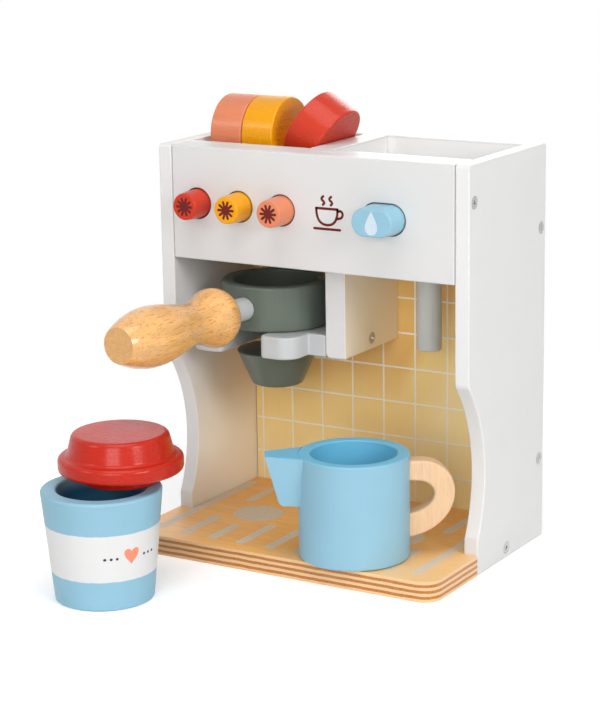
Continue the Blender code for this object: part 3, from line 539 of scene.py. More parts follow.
def board_wear(look, low, high, colour):
    """Thin, slightly greyed paint along a board's edges."""
    reach = []
    for value, start, end in zip((look.x, look.y, look.z), low, high):
        near = look.math("ABSOLUTE", look.math("SUBTRACT", value, start))
        far = look.math("ABSOLUTE", look.math("SUBTRACT", end, value))
        reach.append(look.math("MINIMUM", near, far))
    first = look.math("MINIMUM", reach[0], reach[1])
    second = look.math("MAXIMUM", reach[0], reach[1])
    edge = look.math("MAXIMUM", first, look.math("MINIMUM", second, reach[2]))
    rubbed = look.math("ADD", edge, look.span(look.noise(330, 3), 0.3, 0.7, -0.0004, 0.0006))
    worn = look.span(rubbed, 0.0002, 0.0013, 0.35, 0.0)
    look.feed("Base Color", look.mix(worn, look.tone, shade(colour, 0.86)))
    return look


def painted_tile_bounce(look, depth, low, high, most, colour=(0.86, 0.66, 0.42)):
    """Painted light: a cream glow of light bounced off the ochre tiles, growing toward the rear of a face beside them.
    """
    beside = look.span(depth, -0.0006, -0.0002, 1.0, 0.0)
    share = look.math("MULTIPLY", look.span(look.y, low, high, 0.0, most), beside)
    share = look.math("MULTIPLY", share, look.span(look.z, HEAD_Z - 0.003, HEAD_Z, 1.0, 0.0))
    share = look.math("MULTIPLY", share, look.span(look.y, BACK_FACE_Y, BACK_FACE_Y + 0.0005, 1.0, 0.0))
    tone = look.shader.inputs["Base Color"].links[0].from_socket
    look.feed("Base Color", look.mix(share, tone, colour))
    return look


def painted_low_light(look, depth):
    """Painted light: a brighter, warmer colour low on the inner faces of the side panels, lifting the shade there."""
    share = look.math("MULTIPLY", look.span(depth, -0.0006, -0.0002, 1.0, 0.0),
                      look.span(look.z, 0.02, 0.11, 0.7, 0.0))
    share = look.math("MULTIPLY", share, look.span(look.y, BACK_FACE_Y, BACK_FACE_Y + 0.0005, 1.0, 0.0))
    tone = look.shader.inputs["Base Color"].links[0].from_socket
    look.feed("Base Color", look.mix(share, tone, (0.97, 0.91, 0.80)))
    return look


def painted_bin_light(look):
    """Painted light: a brighter colour on the walls inside the head's open top, lifting the shade in that recess."""
    margin = 0.0003
    share = look.span(look.math("ABSOLUTE", look.x), INNER_X + margin, INNER_X + 2 * margin, 1.0, 0.0)
    behind = BACKING_Y + BACKING_THICKNESS - margin
    floor = HEAD_Z + HEAD_FLOOR_THICKNESS - margin
    for within in (
        look.span(look.y, behind - margin, behind),
        look.span(look.y, BACK_FACE_Y + margin, BACK_FACE_Y + 2 * margin, 1.0, 0.0),
        look.span(look.z, floor - margin, floor),
        look.span(look.z, HEIGHT - 2 * EDGE, HEIGHT - EDGE, 1.0, 0.0),
    ):
        share = look.math("MULTIPLY", share, within)
    tone = look.shader.inputs["Base Color"].links[0].from_socket
    look.feed("Base Color", look.mix(share, tone, (0.86, 0.855, 0.845)))
    return look


def painted_hole_shade(look, places):
    """Painted shade: near-black colour on the walls of the button holes, for the shadow in the gap around each button.
    """
    tone = look.shader.inputs["Base Color"].links[0].from_socket
    for _, _, x, straight in places:
        across = look.math("SUBTRACT", look.math("ABSOLUTE", look.math("SUBTRACT", look.x, x)), straight / 2)
        across = look.math("MAXIMUM", across, 0.0)
        rise = look.math("SUBTRACT", look.z, BUTTON_Z)
        reach = look.math("SQRT", look.math(
            "ADD", look.math("MULTIPLY", across, across), look.math("MULTIPLY", rise, rise)))
        inside = look.span(reach, BUTTON_HOLE_RADIUS + 0.00015, BUTTON_HOLE_RADIUS + 0.0004, 1.0, 0.0)
        tone = look.mix(inside, tone, (0.10, 0.08, 0.07))
    look.feed("Base Color", tone)
    return look


def beech(name, colour, axis="Z", roughness=0.45, coat=0.0, flecks=1.0):
    """Pale hardwood: faint growth bands, long fine pores and short darker ray flecks."""
    look = Look(name, roughness, coat=coat, coat_roughness=0.17, gloss=0.25)
    band = look.noise(1.0, 2, 0.5, look.stretch(along(axis, 260, 9)), 0.3)
    depth = 0.1 if coat else 0.03
    tone = look.mix(look.span(band, 0.3, 0.7), shade(colour, 1 - depth), shade(colour, 1 + depth))
    cloud = look.noise(1.0, 3, 0.6, look.stretch(along(axis, 90, 30)))
    tone = look.mix(look.span(cloud, 0.35, 0.7, 0.0, 0.3), tone, shade(colour, 0.84))
    pores = look.noise(1.0, 3, 0.6, look.stretch(along(axis, 1100, 26)), 0.1)
    tone = look.mix(look.span(pores, 0.52, 0.68, 0.0, 0.45 if coat else 0.25), tone, shade(colour, 0.7))
    rays = look.noise(1.0, 1, 0.5, look.stretch(along(axis, 1500, 105)))
    brown = tuple(value * share for value, share in zip(colour, (0.5, 0.36, 0.22)))
    tone = look.mix(look.span(rays, 0.56, 0.69, 0.0, 0.65 * flecks), tone, brown)
    turn = look.node("ShaderNodeSeparateXYZ", {"Vector": look.facing}).outputs[2]
    if coat:
        tone = look.mix(look.span(turn, 0.9, 0.99, 0.0, 0.5), tone, shade(colour, 0.72))
    look.feed("Base Color", tone)
    look.feed("Roughness", look.span(pores, 0.3, 0.7, roughness - 0.05, roughness + 0.1))
    look.feed("Normal", look.bump(pores, 0.00006))
    look.tone = tone
    return look


def plywood(name):
    """Lacquered birch plywood: honey veneer on its faces, seven plies along its edges."""
    face = (0.90, 0.47, 0.135)
    pale = (0.84, 0.54, 0.27)
    dark = (0.54, 0.19, 0.032)
    look = Look(name, 0.4, coat=0.3, coat_roughness=0.22)
    streak = look.noise(1.0, 4, 0.6, look.stretch((26, 380, 380)), 0.5)
    cloud = look.noise(16, 3, 0.5)
    top = look.mix(look.span(streak, 0.4, 0.68, 0.0, 0.6), shade(face, 1.07), shade(face, 0.86))
    top = look.mix(look.span(cloud, 0.35, 0.7, 0.0, 0.6), top, (0.84, 0.38, 0.085))
    # Painted light: the veneer turns paler toward the front right, where more light falls.
    aside = look.math("SUBTRACT", look.math("MULTIPLY", look.x, 0.7), look.y)
    painted_light_patch = look.math("ADD", aside, look.span(look.noise(28, 3), 0.3, 0.7, -0.02, 0.02))
    top = look.mix(look.span(painted_light_patch, 0.03, 0.12, 0.0, 0.55), top, (0.98, 0.70, 0.38))
    pores = look.noise(1.0, 2, 0.5, look.stretch((150, 2300, 2300)))
    top = look.mix(look.span(pores, 0.64, 0.75, 0.0, 0.5), top, shade(face, 0.55))
    wander = look.math("MULTIPLY", look.noise(70, 2), 0.0009)
    height = look.math("ADD", look.math("ADD", look.z, BASE_THICKNESS / 14 - 0.00045), wander)
    ply = look.math("PINGPONG", look.math("MULTIPLY", height, 7 / BASE_THICKNESS), 1.0)
    layer = look.span(ply, 0.4, 0.6, 1.0, 0.0)
    grain = look.noise(1.0, 3, 0.6, look.stretch((120, 120, 3200)))
    speck = look.noise(1.0, 3, 0.7, look.stretch((1100, 1100, 1700)))
    light = look.mix(look.span(grain, 0.4, 0.7, 0.0, 0.6), pale, shade(pale, 0.84))
    heavy = look.mix(look.span(speck, 0.45, 0.68, 0.0, 0.85), dark, shade(dark, 0.4))
    edge = look.mix(layer, light, heavy)
    # Painted shadow: the plies darken toward the left end of the edge.
    edge = look.mix(look.span(look.x, -0.08, 0.0, 0.4, 0.0), edge, look.mix(layer, shade(pale, 0.5), shade(dark, 0.4)))
    turn = look.node("ShaderNodeSeparateXYZ", {"Vector": look.facing}).outputs[2]
    flat = look.span(look.math("ABSOLUTE", turn), 0.25, 0.6)
    look.feed("Base Color", look.mix(flat, edge, top))
    relief = look.math("ADD", look.math("MULTIPLY", pores, 0.5), look.math("MULTIPLY", speck, 0.5))
    look.feed("Normal", look.bump(relief, 0.00009))
    return look


def tiles(name, colour, deep, pale, line, spacing_x, spacing_z, middle_z, width):
    """White painted board with a printed grid of ochre tiles on its front face only."""
    look = paint(name, WHITE, 0.45, "Z", 0.6, grain=0.2)
    reach = []
    for value, step, shift in ((look.x, spacing_x, 0.0), (look.z, spacing_z, middle_z)):
        place = look.math("DIVIDE", look.math("SUBTRACT", value, shift), step)
        fold = look.math("ABSOLUTE", look.math("SUBTRACT", place, look.math("ROUND", place)))
        reach.append(look.math("MULTIPLY", fold, step))
    nearest = look.math("MINIMUM", reach[0], reach[1])
    ink_edge = look.math("ADD", nearest, look.span(look.noise(900, 2), 0.3, 0.7, -0.00006, 0.00006))
    grout = look.span(ink_edge, width / 2 - 0.0001, width / 2 + 0.0001, 1.0, 0.0)
    cloud = look.noise(30, 3)
    # Painted light and shade: the ochre turns deeper near the head and the divider, and paler lower down and to the
    # right.
    aside = look.math("MAXIMUM", look.math("SUBTRACT", look.x, DIVIDER_RIGHT), 0.0)
    fade = look.math("SUBTRACT", look.math("ADD", look.math("MULTIPLY", aside, 1.5), 0.09), look.z)
    lit_and_shaded_ochre = look.mix(look.span(fade, -0.009, 0.021), deep, colour)
    lit_and_shaded_ochre = look.mix(look.span(fade, 0.021, 0.07), lit_and_shaded_ochre, pale)
    ochre = look.mix(look.span(cloud, 0.3, 0.7, 0.0, 0.3), lit_and_shaded_ochre, shade(colour, 0.96))
    fibre = look.noise(1.0, 3, 0.6, look.stretch((900, 900, 40)), 0.3)
    ochre = look.mix(look.span(fibre, 0.5, 0.75, 0.0, 0.12), ochre, shade(colour, 0.78))
    printed = look.mix(grout, ochre, line)
    turn = look.node("ShaderNodeSeparateXYZ", {"Vector": look.facing}).outputs[1]
    front = look.math("MULTIPLY", look.span(turn, -0.9, -0.6, 1.0, 0.0),
                      look.span(look.z, HEAD_Z, HEAD_Z + 0.0005, 1.0, 0.0))
    look.feed("Base Color", look.mix(front, look.tone, printed))
    return look


def painted_bore_shade(look, bore, top, colour):
    """Painted shade down a vessel's bore: a deeper, more saturated blue for the shade and the light bounced inside it;
    the rim gets most of the same colour.
    """
    radius = look.math("SQRT", look.math(
        "ADD", look.math("MULTIPLY", look.x, look.x), look.math("MULTIPLY", look.y, look.y)))
    inside = look.span(radius, bore + 0.0002, bore + 0.0008, 1.0, 0.0)
    rim = look.span(look.z, top - 0.0009, top - 0.0002)
    share = look.math("MAXIMUM", inside, look.math("MULTIPLY", rim, 0.8))
    tone = look.shader.inputs["Base Color"].links[0].from_socket
    look.feed("Base Color", look.mix(share, tone, colour))
    return look


def cup_coat(name, colour, band, low, high):
    """Light blue paint with a white band, and a small heart between dots on the front."""
    look = paint(name, colour, 0.44, "Z", 1.0, grain=0.5, gloss=0.3)
    ripple = look.span(look.noise(300, 2), 0.3, 0.7, -0.00012, 0.00012)
    height = look.math("ADD", look.z, ripple)
    inside = look.math(
        "MULTIPLY", look.span(height, low - 0.0002, low + 0.0002),
        look.span(height, high - 0.0002, high + 0.0002, 1.0, 0.0),
    )
    radius = look.math("SQRT", look.math(
        "ADD", look.math("MULTIPLY", look.x, look.x), look.math("MULTIPLY", look.y, look.y),
    ))
    outer = look.span(radius, CUP_BORE_RADIUS + 0.0006, CUP_BORE_RADIUS + 0.001)
    tone = look.mix(look.math("MULTIPLY", inside, outer), look.tone, band)
    turn = math.radians(-24)
    side = look.math("ADD", look.math("MULTIPLY", look.x, -math.sin(turn)),
                     look.math("MULTIPLY", look.y, math.cos(turn)))
    depth = look.math("ADD", look.math("MULTIPLY", look.x, math.cos(turn)),
                      look.math("MULTIPLY", look.y, math.sin(turn)))
    front = look.math("MULTIPLY", look.span(depth, 0.012, 0.013), outer)
    rise = look.math("SUBTRACT", look.z, (low + high) / 2)
    u = look.math("DIVIDE", side, 0.0046)
    v = look.math("ADD", look.math("DIVIDE", rise, 0.0046), 0.2)
    bent = look.math("SUBTRACT", look.math("MULTIPLY", v, 1.2), look.math(
        "SQRT", look.math("ABSOLUTE", u)))
    heart = look.math("ADD", look.math("MULTIPLY", u, u), look.math("MULTIPLY", bent, bent))
    heart = look.math("MULTIPLY", look.span(heart, 0.95, 1.05, 1.0, 0.0), front)
    tone = look.mix(heart, tone, (0.86, 0.27, 0.16))
    aside = look.math("SUBTRACT", look.math("ABSOLUTE", side), 0.0118)
    step = look.math("MULTIPLY", look.math("ROUND", look.math("DIVIDE", aside, 0.0032)), 0.0032)
    step = look.math("MINIMUM", look.math("MAXIMUM", step, -0.0032), 0.0032)
    apart = look.math("SUBTRACT", aside, step)
    gap = look.math("SQRT", look.math(
        "ADD", look.math("MULTIPLY", apart, apart), look.math("MULTIPLY", rise, rise)))
    dots = look.math("MULTIPLY", look.span(gap, 0.0007, 0.0009, 1.0, 0.0), front)
    tone = look.mix(dots, tone, (0.035, 0.04, 0.045))
    look.feed("Base Color", tone)
    return look


def zinc(name):
    look = Look(name, 0.3, 1.0)
    cloud = look.noise(900, 3)
    look.feed("Base Color", look.mix(look.span(cloud, 0.3, 0.7), (0.42, 0.42, 0.40), (0.60, 0.60, 0.57)))
    look.feed("Roughness", look.span(look.noise(2500, 2), 0.3, 0.7, 0.22, 0.42))
    look.feed("Normal", look.bump(cloud, 0.00003))
    return look


def ink(name, colour, roughness=0.5):
    """A thin printed or stamped colour that lets the surface below show a little."""
    look = Look(name, roughness, gloss=0.2)
    patch = look.noise(420, 3, 0.6)
    tone = look.mix(look.span(patch, 0.3, 0.75), shade(colour, 1.03), shade(colour, 0.94))
    look.feed("Base Color", tone)
    look.feed("Normal", look.bump(look.noise(900, 2), 0.00004))
    return look


WHITE = (0.72, 0.717, 0.712)
BLUE = (0.265, 0.485, 0.61)
# Painted shade colour for a vessel's bore and rim.
SHADED_BORE_BLUE = (0.145, 0.49, 0.70)
RED = (0.55, 0.034, 0.01)
MUSTARD = (0.80, 0.335, 0.0)
PEACH = (0.69, 0.22, 0.108)
SLATE = (0.120, 0.146, 0.118)
GREY = (0.55, 0.57, 0.575)
MARK = (0.135, 0.012, 0.009)


# Shapes

def mesh_from(name, shape):
    bmesh.ops.recalc_face_normals(shape, faces=shape.faces)
    if shape.calc_volume(signed=True) < 0:
        bmesh.ops.reverse_faces(shape, faces=shape.faces)
    mesh = bpy.data.meshes.new(name)
    shape.to_mesh(mesh)
    shape.free()
    return mesh


def raw(name, mesh, location=(0, 0, 0), rotation=(0, 0, 0)):
    """A working object that later steps cut, bevel and turn into a finished piece."""
    made = bpy.data.objects.new(name, mesh)
    bpy.context.collection.objects.link(made)
    made.matrix_world = Matrix.Translation(location) @ rotation_matrix(rotation)
    return made


def rotation_matrix(rotation):
    x, y, z = rotation
    return (Matrix.Rotation(z, 4, "Z") @ Matrix.Rotation(y, 4, "Y") @ Matrix.Rotation(x, 4, "X"))


def loft(name, rings, smooth=False):
    shape = bmesh.new()
    loops = [[shape.verts.new(point) for point in ring] for ring in rings]
    count = len(loops[0])
    for lower, upper in zip(loops, loops[1:]):
        for index in range(count):
            after = (index + 1) % count
            shape.faces.new((lower[index], lower[after], upper[after], upper[index]))
    shape.faces.new(list(reversed(loops[0])))
    shape.faces.new(loops[-1])
    return mesh_from(name, shape)


def prism(name, outline, axis, low, high):
    place = {
        "X": lambda u, v, w: (w, u, v),
        "Y": lambda u, v, w: (u, w, v),
        "Z": lambda u, v, w: (u, v, w),
    }[axis]
    rings = [[place(point[0], point[1], w) for point in outline] for w in (low, high)]
    return loft(name, rings)


def block(name, low, high):
    corners = ((low[0], low[1]), (high[0], low[1]), (high[0], high[1]), (low[0], high[1]))
    return prism(name, corners, "Z", low[2], high[2])


def turned(name, profile, steps=ROUND_STEPS):
    shape = bmesh.new()
    points = [shape.verts.new((point[0], 0, point[1])) for point in profile]
    edges = [shape.edges.new(pair) for pair in zip(points, points[1:])]
    bmesh.ops.spin(
        shape, geom=points + edges, cent=(0, 0, 0), axis=(0, 0, 1),
        angle=2 * math.pi, steps=steps, use_merge=True,
    )
    bmesh.ops.remove_doubles(shape, verts=shape.verts, dist=0.000005)
    return mesh_from(name, shape)


def bevel(piece, width=EDGE, segments=3):
    modifier = piece.modifiers.new("rounded", "BEVEL")
    modifier.width = width
    modifier.segments = segments
    modifier.limit_method = "ANGLE"
    modifier.angle_limit = math.radians(50)


def cut(piece, cutter):
    modifier = piece.modifiers.new("hole", "BOOLEAN")
    modifier.operation = "DIFFERENCE"
    modifier.object = cutter


def finish_piece(node, body, working, look, sharp=SMOOTH_ANGLE, weighted=True):
    """Freeze the working object's modifiers into the piece that stands for the CAD node."""
    graph = bpy.context.evaluated_depsgraph_get()
    mesh = bpy.data.meshes.new_from_object(working.evaluated_get(graph))
    place = working.matrix_world.copy()
    piece = bpy.data.objects.new(node + "_visual", mesh)
    bpy.context.collection.objects.link(piece)
    piece.matrix_world = place
    mesh.materials.clear()
    mesh.materials.append(look.material)
    mesh.shade_smooth()
    mesh.set_sharp_from_angle(angle=sharp)
    if weighted:
        modifier = piece.modifiers.new("even_shading", "WEIGHTED_NORMAL")
        modifier.keep_sharp = True
        modifier.weight = 100
    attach(piece, body)
    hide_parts(node)
    made_pieces[node] = piece
    return piece


def mark_piece(name, body, mesh, place, look):
    """A thin printed mark that lies on a painted face."""
    piece = bpy.data.objects.new(name, mesh)
    bpy.context.collection.objects.link(piece)
    piece.matrix_world = place
    mesh.materials.append(look.material)
    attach(piece, body)
    return piece


def sweep(helpers):
    for helper in helpers:
        bpy.data.objects.remove(helper, do_unlink=True)


# Carcass

def screw_cutters():
    holes = {}
    for name, place, way, outer, inner in screw_places():
        for piece in (outer, inner):
            holes.setdefault(piece, []).append(screw_matrix(place, way))
    cutters = {}
    for piece, matrices in holes.items():
        shape = bmesh.new()
        for matrix in matrices:
            single = turned("hole", screw_profile(GAP), 24)
            single.transform(matrix)
            shape.from_mesh(single)
        cutters[piece] = raw(piece + "_holes", mesh_from(piece + "_holes", shape))
    return cutters


def carcass():
    helpers = []
    holes = screw_cutters()
    button_cutters = []
    sections = (
        (BUTTON_HOLE_RADIUS, FRONT_Y - OVERRUN), (BUTTON_HOLE_RADIUS, LIP_REAR_Y),
        (POCKET_RADIUS, LIP_REAR_Y), (POCKET_RADIUS, BACKING_Y + POCKET_DEPTH),
    )
    for name, _, x, straight in button_places():
        mesh = loft(name, button_rings(sections, straight))
        button_cutters.append(raw(name + "_hole", mesh, (x, 0, BUTTON_Z), (-math.pi / 2, 0, 0)))
    socket = raw("wand_socket", turned("wand_socket", rod_profile(
        TENON_RADIUS + GAP, HEAD_Z - OVERRUN, HEAD_Z + TENON_LENGTH + GAP)), (WAND_X, WAND_Y, 0))
    helpers += list(holes.values()) + button_cutters + [socket]

    shoulder_y = FOOT_Y - GAP
    base_outline = fillet(
        ((-WIDTH / 2, LIP_Y), (WIDTH / 2, LIP_Y), (WIDTH / 2, shoulder_y), (BOARD_X, shoulder_y),
         (BOARD_X, BAY_REAR_Y), (-BOARD_X, BAY_REAR_Y), (-BOARD_X, shoulder_y),
         (-WIDTH / 2, shoulder_y)),
        (LIP_CORNER_RADIUS, LIP_CORNER_RADIUS, 0, 0, 0, 0, 0, 0), 16,
    )
    backing_high = BACKING_Y + BACKING_THICKNESS
    head_top = HEAD_Z + HEAD_FLOOR_THICKNESS
    boards = {
        "front_panel": ((-BOARD_X, FRONT_Y, HEAD_Z), (BOARD_X, FRONT_Y + FRONT_THICKNESS, HEIGHT)),
        "button_backing_board": ((-BOARD_X, BACKING_Y, HEAD_Z), (BOARD_X, backing_high, HEIGHT)),
        "back_panel": ((-BOARD_X, BACK_FACE_Y, 0), (BOARD_X, REAR_Y, HEIGHT)),
        "head_floor": ((-BOARD_X, BAY_FRONT_Y, HEAD_Z), (BOARD_X, BAY_REAR_Y, head_top)),
        "pod_tray_floor": ((-BOARD_X, BAY_FRONT_Y, TRAY_Z - POD_TRAY_THICKNESS),
                           (PARTITION_LEFT - GAP, BAY_REAR_Y, TRAY_Z)),
        "hopper_partition": ((PARTITION_LEFT, BAY_FRONT_Y, head_top + GAP),
                             (PARTITION_RIGHT, BAY_REAR_Y, HEIGHT)),
    }
    for node, (low, high) in boards.items():
        work = raw(node + "_work", block(node, low, high))
        bevel(work)
        if node in ("front_panel", "button_backing_board"):
            for cutter in button_cutters:
                cut(work, cutter)
        if node == "head_floor":
            cut(work, socket)
        if node in holes:
            cut(work, holes[node])
        if node == "back_panel":
            look = tiles("ochre_tiles", (0.99, 0.74, 0.29), (0.86, 0.51, 0.145), (1.0, 0.83, 0.43),
                         (0.95, 0.90, 0.77), 0.0221, 0.02205, 0.0968, 0.0011)
        else:
            # Painted shade: the front panel gets a darker copy of the white on the other boards, for the stronger light
            # on its face.
            white = shade(WHITE, 0.91) if node == "front_panel" else WHITE
            look = board_wear(paint(node + "_paint", white, 0.4, "X", 0.7, grain=0.15), low, high, white)
            if node == "front_panel":
                # Painted shade in the button holes.
                painted_hole_shade(look, button_places())
        # Painted light brightens each board where it lines the open top.
        finish_piece(node, "machine", work, painted_bin_light(look))
        helpers.append(work)

    for node, side in (("left_side_panel", -1), ("right_side_panel", 1)):
        low_x, high_x = sorted((side * INNER_X, side * WIDTH / 2))
        work = raw(node + "_work", prism(node, side_outline(), "X", low_x, high_x))
        bevel(work)
        cut(work, holes[node])
        look = board_wear(
            paint(node + "_paint", WHITE, 0.42, "Z", 0.8, grain=0.2),
            (low_x, FRONT_Y, 0), (high_x, REAR_Y, HEIGHT), WHITE,
        )
        # Painted light on the inner faces: bounce from the tiles toward the rear, and a brighter colour low down.
        facing_in = look.math("SUBTRACT", look.math("ABSOLUTE", look.x), INNER_X + 0.0008)
        painted_low_light(painted_tile_bounce(look, facing_in, FOOT_Y, BACK_FACE_Y, 0.7), facing_in)
        finish_piece(node, "machine", work, painted_bin_light(look), math.radians(50))
        helpers.append(work)

    work = raw("base_work", prism("base_board", base_outline, "Z", 0, BASE_THICKNESS))
    bevel(work, EDGE / 2, 3)
    cut(work, holes["base_board"])
    finish_piece("base_board", "machine", work, plywood("birch_plywood"))
    helpers.append(work)

    low, high = HEAD_Z - DIVIDER_DROP, HEAD_Z - GAP
    divider_outline = fillet(
        ((DIVIDER_LEFT, low), (DIVIDER_RIGHT, low), (DIVIDER_RIGHT, high), (DIVIDER_LEFT, high)),
        (DIVIDER_CORNER_RADIUS, EDGE, 0, 0),
    )
    work = raw("divider_work", prism("group_divider", divider_outline, "Y", BAY_FRONT_Y, BAY_REAR_Y))
    bevel(work, EDGE / 2, 3)
    cut(work, holes["group_divider"])
    look = board_wear(
        paint("group_divider_paint", WHITE, 0.42, "Y", 0.8, grain=0.2),
        (DIVIDER_LEFT, BAY_FRONT_Y, low), (DIVIDER_RIGHT, BAY_REAR_Y, high), WHITE,
    )
    # Painted light: bounce from the tiles on the divider's right face.
    painted_tile_bounce(look, look.math("SUBTRACT", DIVIDER_RIGHT - 0.0008, look.x), -1.6 * BAY_REAR_Y, BAY_REAR_Y, 0.95,
              (0.99, 0.845, 0.60))
    finish_piece("group_divider", "machine", work, look)
    helpers.append(work)

    work = raw("fork_work", prism("portafilter_fork", fork_outline(), "Z", FORK_LOW_Z, FORK_TOP_Z))
    bevel(work, 1.2 * MM, 4)
    cut(work, holes["portafilter_fork"])
    finish_piece("portafilter_fork", "machine", work, paint("fork_paint", GREY, 0.42, "X"))
    helpers.append(work)

    shoulder = HEAD_Z - GAP
    tip = HEAD_Z - WAND_DROP
    corners = (
        (0, tip), (WAND_RADIUS, tip), (WAND_RADIUS, shoulder), (TENON_RADIUS, shoulder),
        (TENON_RADIUS, HEAD_Z + TENON_LENGTH), (0, HEAD_Z + TENON_LENGTH),
    )
    profile = fillet(corners, (0, WAND_TIP_RADIUS, 0, 0, 0, 0), closed=False)
    work = raw("wand_work", turned("steam_wand", profile), (WAND_X, WAND_Y, 0))
    # Painted shade: the wand gets a darker, warmer copy of the fork's grey, for the shade and warm bounce light around
    # it.
    finish_piece("steam_wand", "machine", work, paint("wand_shaded_paint", (0.52, 0.53, 0.49), 0.42, "Z"))
    helpers.append(work)
    sweep(helpers)


def fork_outline():
    left, right = -BOARD_X, DIVIDER_LEFT - GAP
    arm_front = BAY_FRONT_Y - FORK_REACH
    arm_left, arm_right = FORK_X - FORK_WIDTH / 2, FORK_X + FORK_WIDTH / 2
    mouth = FORK_MOUTH / 2
    corners = [
        (left, BAY_REAR_Y), (left, BAY_FRONT_Y), (arm_left, BAY_FRONT_Y), (arm_left, arm_front),
        (FORK_X - mouth, arm_front),
    ]
    radii = [0, 0, 0, FORK_CORNER_RADIUS, FORK_TIP_RADIUS]
    socket = elliptic((FORK_X, BREW_Y), mouth, mouth, 180, 0, 32)
    corners += socket
    radii += [0] * len(socket)
    corners += [
        (FORK_X + mouth, arm_front), (arm_right, arm_front), (arm_right, BAY_FRONT_Y),
        (right, BAY_FRONT_Y), (right, BAY_REAR_Y),
    ]
    radii += [FORK_TIP_RADIUS, FORK_CORNER_RADIUS, 0, 0, 0]
    return fillet(corners, radii, 10)


def screws():
    """Countersunk wood screws with a cross recess."""
    look = zinc("zinc_plate")
    shaft = raw("screw_shape", turned("wood_screw", screw_profile(), SCREW_STEPS))
    wide, depth, slim = 3.6 * MM, 1.5 * MM, 0.8 * MM
    helpers = [shaft]
    for turn in (0, 90):
        rings = []
        for share, z in ((0.45, -depth), (1.0, 0.3 * MM)):
            u, v = wide * share / 2, slim * (0.7 + 0.3 * share) / 2
            rings.append([(u, v, z), (-u, v, z), (-u, -v, z), (u, -v, z)])
        slot = raw("cross_slot", loft("cross_slot", rings), rotation=(0, 0, math.radians(turn)))
        cut(shaft, slot)
        helpers.append(slot)
    graph = bpy.context.evaluated_depsgraph_get()
    mesh = bpy.data.meshes.new_from_object(shaft.evaluated_get(graph))
    mesh.materials.append(look.material)
    mesh.shade_smooth()
    mesh.set_sharp_from_angle(angle=math.radians(30))
    for index, (node, place, way, _, _) in enumerate(screw_places()):
        piece = bpy.data.objects.new(node + "_visual", mesh)
        bpy.context.collection.objects.link(piece)
        piece.matrix_world = screw_matrix(place, way) @ Matrix.Rotation(0.7 + 1.1 * index, 4, "Z")
        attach(piece, "machine")
        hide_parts(node)
    sweep(helpers)
    springs(look)


def springs(look):
    """Each return spring in its pocket, shown as a zinc copy of its CAD mesh."""
    for name, _, x, _ in button_places():
        node = name + "_spring"
        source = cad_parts[node]
        mesh = source.data.copy()
        piece = bpy.data.objects.new(node + "_visual", mesh)
        bpy.context.collection.objects.link(piece)
        piece.matrix_world = source.matrix_world.copy()
        mesh.materials.clear()
        mesh.materials.append(look.material)
        mesh.shade_smooth()
        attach(piece, "machine")
        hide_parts(node)
        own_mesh(piece)


# Buttons and marks

def capsule_ring(start, end, radius, steps=8):
    """Outline of a round-ended stroke between two points in the plane."""
    start, end = Vector(start), Vector(end)
    along_stroke = (end - start).normalized()
    side = Vector((-along_stroke.y, along_stroke.x))
    points = []
    for centre, sign in ((end, 1), (start, -1)):
        for step in range(steps + 1):
            angle = math.pi * step / steps
            points.append(centre + radius * (
                -side * sign * math.cos(angle) + along_stroke * sign * math.sin(angle)))
    return points


def star_ring(count, reach, half_width, steps=6):
    """Outline of a round-ended star of strokes that meet in the middle."""
    points = []
    inner = half_width / math.sin(math.pi / count)
    for ray in range(count):
        angle = 2 * math.pi * ray / count
        out = Vector((math.cos(angle), math.sin(angle)))
        side = Vector((-out.y, out.x))
        centre = out * (reach - half_width)
        for step in range(steps + 1):
            sweep_angle = math.pi * step / steps
            points.append(centre + half_width * (
                -side * math.cos(sweep_angle) + out * math.sin(sweep_angle)))
        between = angle + math.pi / count
        points.append(Vector((math.cos(between), math.sin(between))) * inner)
    return points


def drop_ring(width, height, steps=40):
    """Outline of a water drop with its point up."""
    points = []
    for step in range(steps):
        t = 2 * math.pi * step / steps
        x = math.sin(t) * math.sin(t / 2) ** 1.35
        points.append(Vector((x * width / 2 / 0.86, math.cos(t) * height / 2)))
    return points


def buttons():
    coats = {"red_button": RED, "mustard_button": MUSTARD, "peach_button": PEACH, "water_button": BLUE}
    flange_front = BUTTON_LIP + GAP
    helpers = []
    mark = ink("brown_mark", MARK)
    drop = ink("pale_mark", (0.57, 0.67, 0.73))
    for node, _, x, straight in button_places():
        face = BUTTON_RADIUS - BUTTON_TAPER
        sections = []
        for step in range(7):
            angle = math.pi / 2 * step / 6
            sections.append((face - BUTTON_CHAMFER * (1 - math.sin(angle)),
                             -BUTTON_REACH + BUTTON_CHAMFER * (1 - math.cos(angle))))
        sections += [
            (BUTTON_RADIUS, 0), (BUTTON_RADIUS, flange_front), (FLANGE_RADIUS, flange_front),
            (FLANGE_RADIUS, flange_front + FLANGE_THICKNESS),
        ]
        work = raw(node + "_work", loft(node, button_rings(sections, straight)),
                   (x, FRONT_Y, BUTTON_Z), (-math.pi / 2, 0, 0))
        finish_piece(node, node, work, paint(node + "_paint", coats[node], 0.36, "Z", 2.5, coat=0.3, gloss=0.12))
        helpers.append(work)
        place = Matrix.Translation((x, FRONT_Y - BUTTON_REACH, BUTTON_Z)) @ rotation_matrix(
            (math.pi / 2, 0, 0))
        if straight:
            mesh = prism(node + "_drop", drop_ring(9.4 * MM, 13.6 * MM), "Z", -0.02 * MM, 0.05 * MM)
            mark_piece("water_drop_mark", node, mesh, place, drop)
        else:
            mesh = prism(node + "_star", star_ring(10, 5.7 * MM, 0.78 * MM), "Z", -0.02 * MM, 0.05 * MM)
            mark_piece(node + "_mark", node, mesh, place, mark)
    sweep(helpers)


